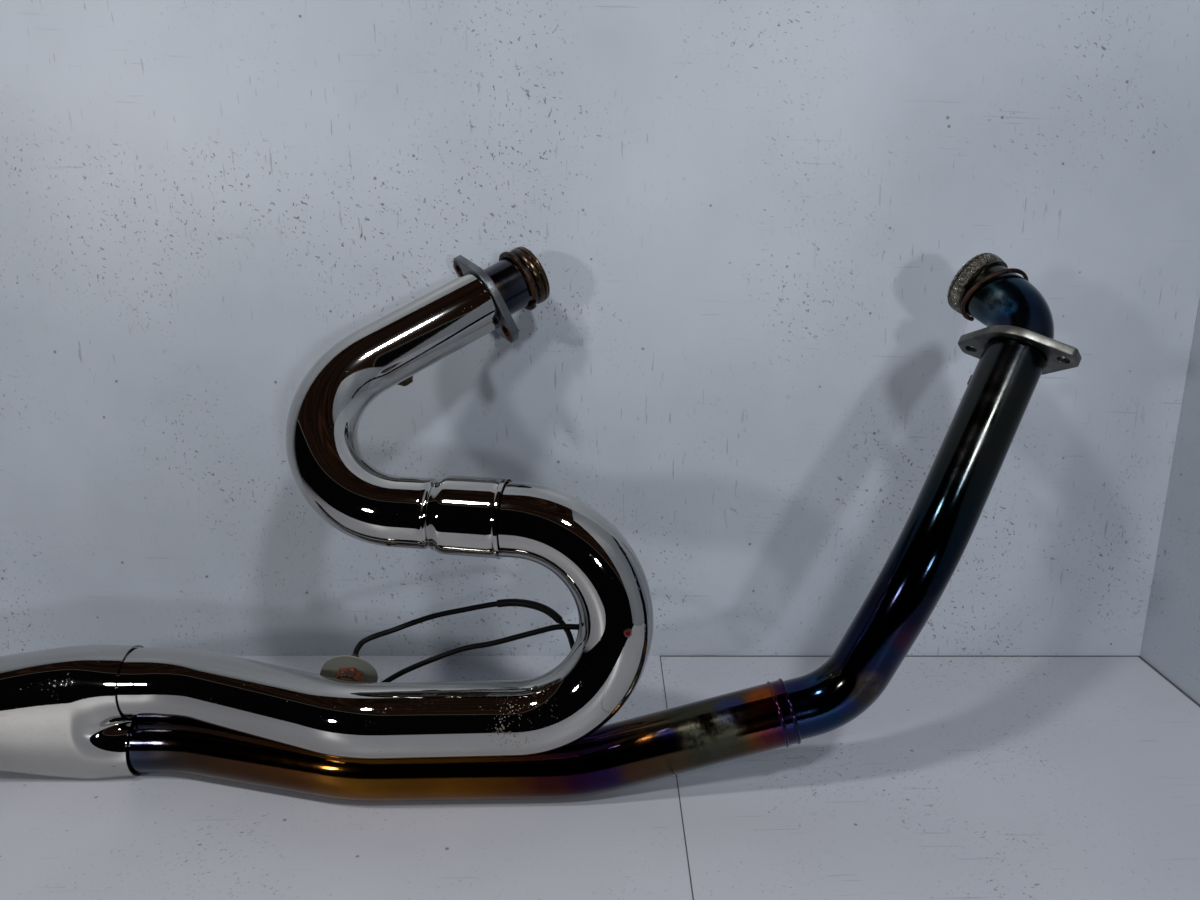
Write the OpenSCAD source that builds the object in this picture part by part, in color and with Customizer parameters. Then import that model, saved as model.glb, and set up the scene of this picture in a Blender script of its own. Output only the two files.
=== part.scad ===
// Two-into-one exhaust header of a V-twin motorcycle. The origin is the middle of the rear port
// flange's outer face. +X points forward, +Y towards the engine, +Z up. Millimetres.

/* [Pipes] */
// Outer diameter of both head pipes
head_pipe_d = 44.45; // [40:0.05:47]
// Outer diameter of the front pipe's lower half, which slips over the upper half
lower_pipe_d = 47.6; // [44:0.1:48]
// Wall of the rear pipe, the front pipe's upper half and the collector
pipe_wall = 1.6; // [1:0.1:2.5]
// Gap all round in the slip joints
slip_gap = 0.08; // [0.05:0.01:0.3]
// Depth of the front pipe's slip joint
slip_depth = 38; // [20:1:60]
// Bend radius of the rear pipe's upper curve
rear_upper_bend_r = 77; // [72:0.5:77]
// Bend radius of the rear pipe's lower curve
rear_lower_bend_r = 73; // [68:0.5:73.5]
// Bend radius of the front pipe's elbow at the port
front_elbow_r = 40; // [36:1:44]

/* [Layout] */
// Distance forward from the rear port to the front port
port_spacing = 395; // [380:1:410]
// Depth of the rear pipe's lower run below the rear port
run_drop = 289; // [285:1:296]
// Distance between the two lower runs, one above the other
run_pitch = 52; // [51.6:0.1:58]
// Distance back from the rear port to the collector's inlets
inlet_back = 300; // [295:1:315]

/* [Port flanges] */
// Distance between a flange's two bolt holes
bolt_pitch = 70; // [66:0.5:76]
// Diameter of the bolt holes
bolt_hole_d = 8.8; // [8:0.1:9.5]
// Thickness of the flanges
flange_t = 7; // [5:0.5:8]
// Radius of the flange around its bore
flange_r = 30; // [28:0.5:31]
// Half the width of the flange's ears
ear_r = 9.5; // [8:0.5:12]
// Radius of the ears' corners
ear_corner_r = 5; // [2:0.5:8]
// Gap all round between a flange and its pipe
flange_gap = 0.7; // [0.3:0.1:1.2]
// Reach of the rear pipe's end past its flange
port_reach = 45; // [42:1:50]

/* [Port rings and gaskets] */
// Outer diameter of the retaining rings
ring_d = 54.5; // [52:0.5:57]
// Width of the retaining rings' section
ring_w = 3.2; // [2.5:0.1:3.5]
// Open angle of the retaining rings
ring_open = 24; // [10:1:40]
// Outer diameter of the knitted gaskets
gasket_d = 51.5; // [50:0.5:54]
// Length of the knitted gaskets
gasket_l = 13; // [9:0.5:14]
// Outer diameter of the collar that the gasket stops against
collar_d = 49.5; // [48:0.5:52]
// Width of that collar
collar_w = 2; // [1.5:0.1:3]

/* [Heat shields] */
// Outer radius of the rear pipe's upper shield
upper_shield_r = 26.5; // [26:0.1:27.5]
// Outer radius of the rear pipe's lower shield
lower_shield_r = 27; // [26.2:0.1:27.2]
// Sheet thickness of the shields
sheet = 1; // [0.8:0.1:1.2]
// Angle of the gap along a shield's inboard side
shield_open = 120; // [100:2:130]
// Gap between the sleeve and the shield that it covers
sleeve_gap = 1.4; // [0.5:0.1:2]
// Length of the sleeve at the upper shield's lower end
sleeve_l = 56; // [48:1:58]
// Length of the lower shield inside the sleeve
sleeve_lap = 22; // [10:1:30]

/* [Collector] */
// Outer diameter of the outlet's sized end, where the silencer slips on
outlet_d = 63.5; // [60:0.1:66]
// Length of that sized end
outlet_end_l = 45; // [35:1:60]
// Length of the merge from the two inlets to the outlet
merge_l = 88; // [80:1:100]
// Length of the inlet sockets
socket_l = 14; // [10:1:20]
// Gap between the collector shield's mouth and the pieces that it covers
mouth_gap = 0.8; // [0.5:0.1:1.5]
// Length of the collector shield
collector_shield_l = 165; // [150:1:175]

/* [Clamps] */
// Width of the clamp bands
band_w = 12; // [9:0.5:14]
// Thickness of the clamp bands
band_t = 0.8; // [0.6:0.1:1.2]

/* [Sensor] */
// Outer diameter of the threaded bungs
bung_d = 19; // [18:0.5:22]
// Bore of the threaded bungs
bung_bore_d = 12; // [10:0.5:13]
// Height of a bung's face above the pipe
bung_h = 8; // [6:0.5:10]
// Width across flats of the plugs and of the sensor
hex_af = 19; // [17:0.5:22]
// Diameter of the deflector plate on the sensor
deflector_d = 43; // [30:1:48]
// Diameter of the sensor's cable
cable_d = 4.5; // [4:0.1:5]

/* [Hidden] */
$fn = 64;

head_r = head_pipe_d / 2;
lower_r = lower_pipe_d / 2;
lower_wall = lower_r - head_r - slip_gap;
bend_lap = 0.3;
tool_mark = 0.02;
leg_r = head_r + tool_mark;
seat_gap = 0.1;
joint_at = 40;
bead_at = 9;
bead_r = 1.15;

// Corner points of the two centrelines, from the ports down to the collector's inlets.
run_y = -136;
rear_corner = [-138, -81, -71];
rear_axis = rear_corner / norm(rear_corner);
rear_route = [-port_reach * rear_axis, rear_corner, [-94, -146, -142], [90, -172, -145],
              [128, -184, -run_drop], [-86, -192, -run_drop], [-230, run_y, -run_drop],
              [-inlet_back, run_y, -run_drop]];
rear_radii = [0, rear_upper_bend_r, rear_upper_bend_r, rear_lower_bend_r, rear_lower_bend_r, 115, 135, 0];

low_z = -run_drop - run_pitch;
front_route = [[port_spacing, -38, 16], [port_spacing + 30, -83, -10], [327, -169, -178],
               [279, -163, -286], [79, -170, low_z + 1], [-91, -173, low_z], [-236, run_y, low_z],
               [-inlet_back, run_y, low_z]];
front_radii = [0, front_elbow_r, 200, 60, 180, 160, 150, 0];

// Legs of the routes: a leg has the number of the corner where it starts.
port_leg = 0;
knee_leg = 1;
sleeve_leg = 2;
joint_leg = 3;
run_leg = 4;
last_leg = 6;

// Where the gaps of the shields face, and how the flanges are turned.
upper_open_to = [-3, 10, -5];
lower_open_to = [0, 10, -2];
rear_bolt_line = [6, -4, -7];
front_bolt_line = [67, -74, 0];

// Points that the sensor's cable runs through, from the sensor's boot to the connector.
cable_points = [[-98, -131, -269], [-98, -125, -266], [-95, -118, -263], [-87, -112, -261],
                [-75, -104, -260], [-58, -97, -256], [-40, -92, -252], [-18, -90, -248],
                [4, -89, -244], [22, -91, -241], [38, -97, -240], [51, -105, -241],
                [61, -113, -245], [69, -121, -252], [73, -127, -261], [76, -131, -271],
                [84, -135, -279], [95, -136, -281], [106, -134, -275], [110, -131, -264],
                [104, -128, -253], [92, -126, -247], [77, -124, -247], [61, -120, -249],
                [46, -115, -255], [28, -111, -262], [6, -107, -270], [-17, -104, -276],
                [-42, -105, -285], [-64, -107, -294], [-80, -108, -303], [-96, -108, -315],
                [-112, -106, -330], [-128, -102, -345], [-144, -98, -354], [-160, -95, -357],
                [-176, -93, -357]];
cable_step = 5;
cable_sides = 8;
sleeve_from = 8.3;
sleeve_to = 12.2;

function unit(v) = v / norm(v);
function flat(v, axis) = unit(v - (v * axis) * axis);
function swung(v, axis, angle) = v * cos(angle) + cross(axis, v) * sin(angle);
function leg(route, i) = unit(route[i + 1] - route[i]);
function turn(route, i) = acos(leg(route, i - 1) * leg(route, i));
function corner_cut(route, radii, i) =
    i == 0 || i == len(route) - 1 ? 0 : radii[i] * tan(turn(route, i) / 2);
function hinge(route, i) = unit(cross(leg(route, i - 1), leg(route, i)));
function on_leg(route, i, at) = route[i] + at * leg(route, i);
function bend_centre(route, radii, i) =
    route[i] - corner_cut(route, radii, i) * leg(route, i - 1)
    - radii[i] * cross(leg(route, i - 1), hinge(route, i));
function smooth(s) = let (c = min(1, max(0, s))) c * c * (3 - 2 * c);

// Part of a route, from a distance along leg i to a distance along leg j, and its bend radii.
function cut_route(route, i, from, j, to) =
    concat([on_leg(route, i, from)], [for (k = [i + 1:1:j]) route[k]], [on_leg(route, j, to)]);
function cut_radii(radii, i, j) = concat([0], [for (k = [i + 1:1:j]) radii[k]], [0]);

// Direction of a shield's gap on each leg: it turns with the pipe and never twists round it.
function carried(route, open_to, i) =
    i == 0 ? flat(open_to, leg(route, 0))
    : let (before = carried(route, open_to, i - 1),
           z = hinge(route, i),
           out_before = cross(leg(route, i - 1), z),
           out_after = cross(leg(route, i), z))
      (before * out_before) * out_after + (before * z) * z;

module place(at, z, x) {
    zz = unit(z);
    xx = flat(x, zz);
    yy = cross(zz, xx);
    multmatrix([[xx.x, yy.x, zz.x, at.x], [xx.y, yy.y, zz.y, at.y], [xx.z, yy.z, zz.z, at.z], [0, 0, 0, 1]])
        children();
}

// Wall of a tube or shield, cut across: a ring with a gap that faces +X.
module wall_section(r, wall, open) {
    far = 2 * r;
    difference() {
        circle(r);
        circle(r - wall);
        if (open > 0)
            polygon([[0, 0], far * [cos(open / 2), -sin(open / 2)], [far * 1.5, 0],
                     far * [cos(open / 2), sin(open / 2)]]);
    }
}

// A tube or shield that follows a route. Each straight leg is an extrusion and each bend is turned.
// A leg is thicker than its bends by the depth of a tool mark, and laps them a little at each end.
module bent_wall(route, radii, r, wall, open = 0, open_to = [0, 1, 0], end_leg = true) {
    last = len(route) - 2;
    for (i = [0:end_leg ? last : last - 1]) {
        from = corner_cut(route, radii, i) - (i > 0 ? bend_lap : 0);
        to = norm(route[i + 1] - route[i]) - corner_cut(route, radii, i + 1) + (i < last ? bend_lap : 0);
        place(on_leg(route, i, from), leg(route, i), carried(route, open_to, i))
            linear_extrude(height = to - from)
                wall_section(r + tool_mark, wall + 2 * tool_mark, open == 0 ? 0 : open - 0.2);
    }
    for (i = [1:1:last]) {
        z = hinge(route, i);
        out = cross(leg(route, i - 1), z);
        gap = carried(route, open_to, i - 1);
        place(bend_centre(route, radii, i), z, out)
            rotate_extrude(angle = turn(route, i), $fn = 96)
                translate([radii[i], 0]) rotate(atan2(gap * z, gap * out)) wall_section(r, wall, open);
    }
}

// A sheet turned about Z from a list of [radius, height], with a gap that faces +X.
module turned_sheet(outline, thickness, open) {
    inner = [for (k = [len(outline) - 1:-1:0]) outline[k] - [thickness, 0]];
    rotate(open / 2) rotate_extrude(angle = 360 - open) polygon(concat(outline, inner));
}

module ring(r_out, r_in, h) {
    difference() {
        cylinder(r = r_out, h = h);
        translate([0, 0, -1]) cylinder(r = r_in, h = h + 2);
    }
}

module hexagon(af, h) {
    cylinder(d = af / cos(30), h = h, $fn = 6);
}

// Pipes

collar_at = gasket_l - 2 + seat_gap;

module port_collar(end, axis) {
    place(end + collar_at * axis, axis, [0, 0, 1])
        ring(collar_d / 2, head_r - pipe_wall / 2, collar_w);
}

module rear_head_pipe() {
    color([0.42, 0.38, 0.35]) difference() {
        union() {
            bent_wall(rear_route, rear_radii, head_r, pipe_wall);
            port_collar(rear_route[0], rear_axis);
        }
        place(rear_bung_base, rear_bung_axis, rear_axis) cylinder(d = bung_bore_d, h = bung_top);
        place(sensor_base, sensor_axis, leg(rear_route, run_leg)) cylinder(d = bung_bore_d, h = bung_top);
    }
}

upper_pipe_end = joint_at + slip_depth;
last_front_leg = norm(front_route[7] - front_route[6]);

module front_upper_pipe() {
    color([0.16, 0.17, 0.22]) difference() {
        union() {
            bent_wall(cut_route(front_route, port_leg, 0, joint_leg, upper_pipe_end),
                      cut_radii(front_radii, port_leg, joint_leg), head_r, pipe_wall);
            port_collar(front_route[0], leg(front_route, port_leg));
        }
        place(front_bung_base, front_bung_axis, leg(front_route, knee_leg))
            cylinder(d = bung_bore_d, h = bung_top);
    }
}

module front_lower_pipe() {
    color([0.3, 0.24, 0.2]) {
        bent_wall(cut_route(front_route, joint_leg, joint_at, last_leg, last_front_leg),
                  cut_radii(front_radii, joint_leg, last_leg), lower_r, lower_wall);
        for (at = [0, bead_at])
            place(on_leg(front_route, joint_leg, joint_at + bead_at / 4 + at),
                  leg(front_route, joint_leg), [0, 0, 1])
                rotate_extrude() translate([lower_r - 0.3, 0]) circle(bead_r, $fn = 24);
    }
}

// Port flanges, retaining rings and gaskets

module port_flange() {
    difference() {
        linear_extrude(height = flange_t) hull() {
            circle(flange_r);
            for (side = [-1, 1], edge = [-1, 1])
                translate([side * (bolt_pitch / 2 + ear_r - ear_corner_r), edge * (ear_r - ear_corner_r)])
                    circle(ear_corner_r);
        }
        translate([0, 0, -1]) cylinder(r = head_r + flange_gap, h = flange_t + 2);
        for (side = [-1, 1])
            translate([side * bolt_pitch / 2, 0, -1]) cylinder(d = bolt_hole_d, h = flange_t + 2);
    }
}

front_flange_at = corner_cut(front_route, front_radii, 1) - 1;

module rear_port_flange() {
    color([0.72, 0.73, 0.74]) place([0, 0, 0], rear_axis, rear_bolt_line) port_flange();
}

module front_port_flange() {
    color([0.7, 0.69, 0.66])
        place(on_leg(front_route, knee_leg, front_flange_at), leg(front_route, knee_leg), front_bolt_line)
            port_flange();
}

ring_r_in = head_r + 0.6;
loose_ring_r_in = head_r + 2.3;
loose_ring_at = 23.5;
loose_ring_tilt = 18;

module retaining_ring(r_in) {
    rotate_extrude(angle = 360 - ring_open)
        polygon([[r_in, 0], [ring_d / 2 - 0.6, 0], [ring_d / 2, 0.6], [ring_d / 2, ring_w - 0.6],
                 [ring_d / 2 - 0.6, ring_w], [r_in, ring_w]]);
}

module rear_retaining_ring() {
    color([0.36, 0.22, 0.14])
        place(on_leg(rear_route, 0, collar_at + collar_w + 0.2), rear_axis, [1, 0, 0])
            retaining_ring(ring_r_in);
}

// The front ring has slid back and hangs askew at the start of the elbow.
loose_ring_axis = leg(front_route, port_leg)
    + tan(loose_ring_tilt) * flat(leg(front_route, knee_leg), leg(front_route, port_leg));

module front_retaining_ring() {
    color([0.3, 0.2, 0.14])
        place(on_leg(front_route, port_leg, loose_ring_at), loose_ring_axis, [0, 1, -1])
            translate([0, 0, -ring_w / 2]) retaining_ring(loose_ring_r_in);
}

// The gasket sits round the pipe's end and reaches 2 mm past it.
module port_gasket() {
    rotate_extrude()
        polygon([[head_r + 0.1, 0], [gasket_d / 2 - 2.5, 0], [gasket_d / 2 - 0.8, 2.5], [gasket_d / 2, 5],
                 [gasket_d / 2, gasket_l - 3], [gasket_d / 2 - 1.2, gasket_l], [head_r + 0.1, gasket_l]]);
}

module rear_port_gasket() {
    color([0.62, 0.56, 0.48]) place(on_leg(rear_route, 0, -2), rear_axis, [1, 0, 0]) port_gasket();
}

module front_port_gasket() {
    color([0.62, 0.58, 0.52])
        place(on_leg(front_route, port_leg, -2), leg(front_route, port_leg), [1, 0, 0]) port_gasket();
}

// Heat shields of the rear pipe

rear_leg_0 = port_reach + norm(rear_corner);
upper_shield_from = port_reach + flange_t + 1;
sleeve_end = 123;
sleeve_at = sleeve_end - sleeve_l;
sleeve_r = lower_shield_r + sleeve_gap + sheet;
lower_shield_from = sleeve_end - sleeve_lap;
mouth_inset = 28;
mouth_back = inlet_back - mouth_inset;
lower_shield_to = 56;

upper_shield_route = cut_route(rear_route, port_leg, upper_shield_from, sleeve_leg, sleeve_at);
upper_shield_radii = cut_radii(rear_radii, port_leg, sleeve_leg);
lower_shield_route = cut_route(rear_route, sleeve_leg, lower_shield_from, last_leg, lower_shield_to);
lower_shield_radii = cut_radii(rear_radii, sleeve_leg, last_leg);

module upper_shield() {
    groove = 1.2;
    flare = 14;
    rim = 0.6;
    leg_shield_r = upper_shield_r + tool_mark;
    leg_from = corner_cut(rear_route, rear_radii, sleeve_leg) - bend_lap;
    sleeve_h = sleeve_at - leg_from;
    color([0.9, 0.9, 0.92]) {
        bent_wall(upper_shield_route, upper_shield_radii, upper_shield_r, sheet, shield_open, upper_open_to,
                  end_leg = false);
        place(on_leg(rear_route, sleeve_leg, leg_from), leg(rear_route, sleeve_leg),
              carried(upper_shield_route, upper_open_to, 2))
            turned_sheet([[leg_shield_r, 0], [leg_shield_r, sleeve_h],
                          [leg_shield_r - groove, sleeve_h + 1.4], [leg_shield_r - groove, sleeve_h + 2.6],
                          [leg_shield_r, sleeve_h + 4],
                          [sleeve_r - 0.4, sleeve_h + flare - 3], [sleeve_r, sleeve_h + flare],
                          [sleeve_r, sleeve_h + sleeve_l - 4], [sleeve_r + rim, sleeve_h + sleeve_l - 2.6],
                          [sleeve_r + rim, sleeve_h + sleeve_l]], sheet + 2 * tool_mark, shield_open - 0.2);
    }
}

sensor_hole_r = bung_d / 2 + 4.5;

module lower_shield() {
    color([0.9, 0.9, 0.92]) difference() {
        bent_wall(lower_shield_route, lower_shield_radii, lower_shield_r, sheet,
                  shield_open, lower_shield_gap);
        place(sensor_base, sensor_axis, [1, 0, 0]) cylinder(r = sensor_hole_r, h = 3 * lower_shield_r);
    }
}

// The gap of the lower shield is set on the lower run and carried back up to the sleeve.
run_gap = flat(lower_open_to, leg(rear_route, run_leg));
lower_shield_gap = let (up = [for (k = [6:-1:2]) rear_route[k]]) carried(up, run_gap, 3);

// Clamps that hold the shields: place on the route, direction of the screw, pipe radius and shield's
// inner radius. The sleeve's clamp is swung inboard, so that its screw stays behind the shield.

clamp_inset = 22;
sleeve_clamp_inset = 16;
run_clamp_at = 112;
back_clamp_at = 75;
sleeve_clamp_swing = 22;
upper_inner = upper_shield_r - sheet - tool_mark;
lower_inner = lower_shield_r - sheet - tool_mark;
band_r = leg_r + seat_gap;
outlet_r = outlet_d / 2;
outlet_step = 0.8;
outlet_tube_l = collector_shield_l - merge_l - mouth_inset + 3;
outlet_from = inlet_back + merge_l;
shield_end = mouth_back + collector_shield_l;
outlet_z = -run_drop - run_pitch / 2;
clamp_places = [
    [on_leg(rear_route, port_leg, upper_shield_from + clamp_inset), leg(rear_route, port_leg),
     carried(upper_shield_route, upper_open_to, 0), band_r, upper_inner],
    [on_leg(rear_route, sleeve_leg, sleeve_at - sleeve_clamp_inset), leg(rear_route, sleeve_leg),
     swung(carried(upper_shield_route, upper_open_to, 2), leg(rear_route, sleeve_leg), sleeve_clamp_swing),
     band_r, upper_inner],
    [on_leg(rear_route, run_leg, run_clamp_at), leg(rear_route, run_leg), run_gap, band_r, lower_inner],
    [on_leg(rear_route, last_leg - 1, back_clamp_at), leg(rear_route, last_leg - 1),
     carried(lower_shield_route, lower_shield_gap, 3), band_r, lower_inner],
    [[-shield_end + 27, run_y, outlet_z], [-1, 0, 0], [0, 1, 0], outlet_r + outlet_step + seat_gap, 0]];
clip_half = 26;

module at_clamp(i) {
    c = clamp_places[i - 1];
    place(c[0], c[1], c[2]) translate([0, 0, -band_w / 2]) children();
}

module clamp_band(i) {
    r = clamp_places[i - 1][3];
    color([0.62, 0.6, 0.57]) at_clamp(i) {
        ring(r + band_t, r, band_w);
        difference() {
            translate([r + band_t / 2, -9, 0]) cube([7.5, 18, band_w]);
            translate([r + band_t + 3.6, -10, band_w / 2]) rotate([-90, 0, 0]) cylinder(r = 3, h = 20);
        }
    }
}

module clamp_screw(i) {
    r = clamp_places[i - 1][3];
    color([0.55, 0.53, 0.5]) at_clamp(i)
        translate([r + band_t + 3.6, 10, band_w / 2]) rotate([90, 0, 0]) {
            cylinder(r = 2.9, h = 19.5);
            translate([0, 0, -5]) hexagon(8, 5);
        }
}

module shield_clips() {
    color([0.6, 0.6, 0.6]) for (i = [1:4]) {
        c = clamp_places[i - 1];
        at_clamp(i) rotate(180 - clip_half)
            rotate_extrude(angle = 2 * clip_half)
                translate([c[3] + band_t + seat_gap, 0])
                    square([c[4] - c[3] - band_t - 2 * seat_gap, band_w]);
    }
}

// Collector

rear_socket_r = head_r + slip_gap + pipe_wall;
front_socket_r = lower_r + slip_gap + pipe_wall;

module along_back(x, y, z) {
    translate([-x, y, z]) rotate([0, -90, 0]) children();
}

// Two inlets that merge into one outlet, drawn outside or inside the sheet.
module merge_body(shrink, past) {
    hull() {
        along_back(inlet_back, run_y, -run_drop) cylinder(r = rear_socket_r - shrink, h = 0.1, $fn = 48);
        along_back(inlet_back, run_y, low_z) cylinder(r = front_socket_r - shrink, h = 0.1, $fn = 48);
        along_back(outlet_from - 0.1 + past, run_y, outlet_z)
            cylinder(r = outlet_r + outlet_step - shrink, h = 0.1, $fn = 48);
    }
}

module collector() {
    color([0.5, 0.47, 0.44]) {
        difference() {
            merge_body(0, 0);
            translate([-0.01, 0, 0]) merge_body(pipe_wall, 0.02);
            along_back(inlet_back - 1, run_y, -run_drop) cylinder(r = head_r - pipe_wall, h = 3);
            along_back(inlet_back - 1, run_y, low_z) cylinder(r = lower_r - lower_wall, h = 3);
        }
        along_back(inlet_back - socket_l, run_y, -run_drop) ring(rear_socket_r, head_r + slip_gap, socket_l);
        along_back(inlet_back - socket_l, run_y, low_z) ring(front_socket_r, lower_r + slip_gap, socket_l);
        along_back(outlet_from, run_y, outlet_z) difference() {
            union() {
                cylinder(r = outlet_r + outlet_step, h = outlet_tube_l);
                cylinder(r = outlet_r, h = outlet_tube_l + outlet_end_l);
            }
            translate([0, 0, -1]) cylinder(r = outlet_r - pipe_wall, h = outlet_tube_l + outlet_end_l + 2);
        }
    }
}

// Section of the collector's shield at a distance behind its mouth: two lobes that run into one oval.
lobe_up_r = lower_shield_r + mouth_gap + sheet;
lobe_down_r = lower_r + mouth_gap + 1 + sheet;
lobe_half = run_pitch / 2;
shield_tall = lobe_half + lobe_up_r;
shield_wide = 30.5;
shield_tall_end = 38;
shield_wide_end = 36;
shield_cover = 118;
shield_steps = 40;
shield_rows = 14;
oval_power = 2.6;
lobe_power = 3;

function lobe_reach(a, r, c) = c * sin(a) + sqrt(max(0, r * r - pow(c * cos(a), 2)));
function mouth_reach(a) =
    pow(pow(lobe_reach(a, lobe_up_r, lobe_half), lobe_power)
        + pow(lobe_reach(-a, lobe_down_r, lobe_half), lobe_power), 1 / lobe_power);
function oval_reach(a, w, h) =
    pow(pow(abs(cos(a)) / w, oval_power) + pow(abs(sin(a)) / h, oval_power), -1 / oval_power);
function shield_reach(s, a) =
    let (merge = smooth(s * 4.5), narrow = smooth((s - 0.15) / 0.85),
         w = shield_wide + (shield_wide_end - shield_wide) * narrow,
         h = shield_tall + (shield_tall_end - shield_tall) * narrow)
    mouth_reach(a) * (1 - merge) + oval_reach(a, w, h) * merge;
function shield_point(s, a, inset) =
    let (r = shield_reach(s, a) - inset)
    [-mouth_back - s * collector_shield_l, run_y - r * cos(a), outlet_z + r * sin(a)];

module collector_shield() {
    n = shield_steps + 1;
    arc = [for (k = [0:shield_steps]) -shield_cover + 2 * shield_cover * k / shield_steps];
    points = [for (row = [0:shield_rows]) let (s = pow(row / shield_rows, 1.3))
                  each concat([for (a = arc) shield_point(s, a, 0)],
                              [for (k = [shield_steps:-1:0]) shield_point(s, arc[k], sheet)])];
    loop = 2 * n;
    sides = [for (row = [0:shield_rows - 1], k = [0:loop - 1])
                 let (a = row * loop + k, b = row * loop + (k + 1) % loop)
                 each [[a, a + loop, b], [b, a + loop, b + loop]]];
    last = shield_rows * loop;
    ends = [for (k = [0:shield_steps - 1])
                let (a = k, b = k + 1, c = loop - 2 - k, d = loop - 1 - k)
                each [[a, b, d], [b, c, d], [last + b, last + a, last + d], [last + c, last + b, last + d]]];
    color([0.9, 0.9, 0.92]) polyhedron(points, concat(sides, ends), convexity = 6);
}

// Bungs, plugs and the oxygen sensor

rear_bung_base = on_leg(rear_route, port_leg, port_reach + 94);
rear_bung_axis = flat([2, 11, -16], rear_axis);
front_bung_base = on_leg(front_route, knee_leg, 51);
front_bung_axis = flat([-14, 60, -20], leg(front_route, knee_leg));
sensor_base = on_leg(rear_route, run_leg + 1, 13) + [0, 0.4, 0];
sensor_axis = unit([0, 94, 34]);
bung_top = head_r + bung_h;

module bung() {
    difference() {
        cylinder(d = bung_d, h = bung_top);
        translate([0, 0, -1]) cylinder(d = bung_bore_d, h = bung_top + 2);
    }
}

module plug() {
    cylinder(d = bung_bore_d - 0.2, h = bung_h + 1);
    translate([0, 0, bung_h + 1]) hexagon(hex_af - 5, 6);
    translate([0, 0, bung_h + 7]) cylinder(r1 = 5, r2 = 3.4, h = 3.5);
}

module rear_bung() {
    color([0.4, 0.35, 0.28]) difference() {
        place(rear_bung_base, rear_bung_axis, rear_axis) bung();
        place(on_leg(rear_route, port_leg, port_reach), rear_axis, [0, 0, 1])
            cylinder(r = leg_r + seat_gap, h = 130);
    }
}

module rear_plug() {
    color([0.33, 0.3, 0.22])
        place(rear_bung_base + (head_r - 0.99) * rear_bung_axis, rear_bung_axis, rear_axis) plug();
}

module front_bung() {
    color([0.3, 0.28, 0.25]) difference() {
        place(front_bung_base, front_bung_axis, leg(front_route, knee_leg)) bung();
        place(on_leg(front_route, knee_leg, 28), leg(front_route, knee_leg), [0, 0, 1])
            cylinder(r = leg_r + seat_gap, h = 60);
    }
}

module front_plug() {
    color([0.33, 0.3, 0.22])
        place(front_bung_base + (head_r - 0.99) * front_bung_axis, front_bung_axis,
              leg(front_route, knee_leg)) plug();
}

// The sensor's bung sits on a bend, so the bend itself is cut from it.
module sensor_bung() {
    i = run_leg + 1;
    z = hinge(rear_route, i);
    out = cross(leg(rear_route, run_leg), z);
    color([0.45, 0.42, 0.36]) difference() {
        place(sensor_base, sensor_axis, leg(rear_route, run_leg)) bung();
        place(bend_centre(rear_route, rear_radii, i), z, out)
            rotate_extrude($fn = 96) translate([rear_radii[i], 0]) circle(head_r + seat_gap);
    }
}

sensor_hex_h = 8;
sensor_shell_l = 13;
sensor_shell_r = 6.6;
boot_l = 6.4;
sensor_tail = bung_top + 1.5 + sensor_hex_h + sensor_shell_l;

module oxygen_sensor() {
    color([0.46, 0.25, 0.12])
        place(sensor_base + bung_top * sensor_axis, sensor_axis, leg(rear_route, run_leg)) {
            translate([0, 0, -bung_h + 1]) cylinder(d = bung_bore_d - 0.2, h = bung_h - 1);
            cylinder(r = hex_af / 2 + 1, h = 1.5);
            translate([0, 0, 1.5]) hexagon(hex_af, sensor_hex_h);
            translate([0, 0, 1.5 + sensor_hex_h])
                rotate_extrude()
                    polygon([[0, 0], [sensor_shell_r + 0.8, 0], [sensor_shell_r + 0.8, 3],
                             [sensor_shell_r, 4], [sensor_shell_r, sensor_shell_l - 2],
                             [sensor_shell_r - 1, sensor_shell_l], [0, sensor_shell_l]]);
        }
}

// Plate that keeps heat off the cable's end: it lies on the sensor's hexagon.
module sensor_deflector() {
    color([0.45, 0.44, 0.38])
        place(sensor_base + (sensor_tail - sensor_shell_l) * sensor_axis, sensor_axis,
              leg(rear_route, run_leg))
            linear_extrude(height = 1) difference() {
                hull() {
                    circle(d = deflector_d);
                    translate([4, -3]) circle(d = deflector_d - 5);
                }
                circle(sensor_shell_r + 0.9);
            }
}

module sensor_boot() {
    color([0.08, 0.08, 0.08])
        place(sensor_base + sensor_tail * sensor_axis, sensor_axis, leg(rear_route, run_leg))
            cylinder(r1 = 4.8, r2 = 3.2, h = boot_l);
}

// Sweeps a round skin along the cable's points.

function spline(p, t) =
    let (n = len(p) - 1, i = min(n - 1, floor(t)), u = t - i,
         a = p[max(0, i - 1)], b = p[i], c = p[i + 1], d = p[min(n, i + 2)])
    0.5 * (2 * b + (c - a) * u + (2 * a - 5 * b + 4 * c - d) * u * u + (3 * b - a - 3 * c + d) * u * u * u);
function cable_at(t) = spline(cable_points, t);
function cable_dir(t) = let (n = len(cable_points) - 1)
    unit(cable_at(min(n, t + 0.02)) - cable_at(max(0, t - 0.02)));

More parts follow.
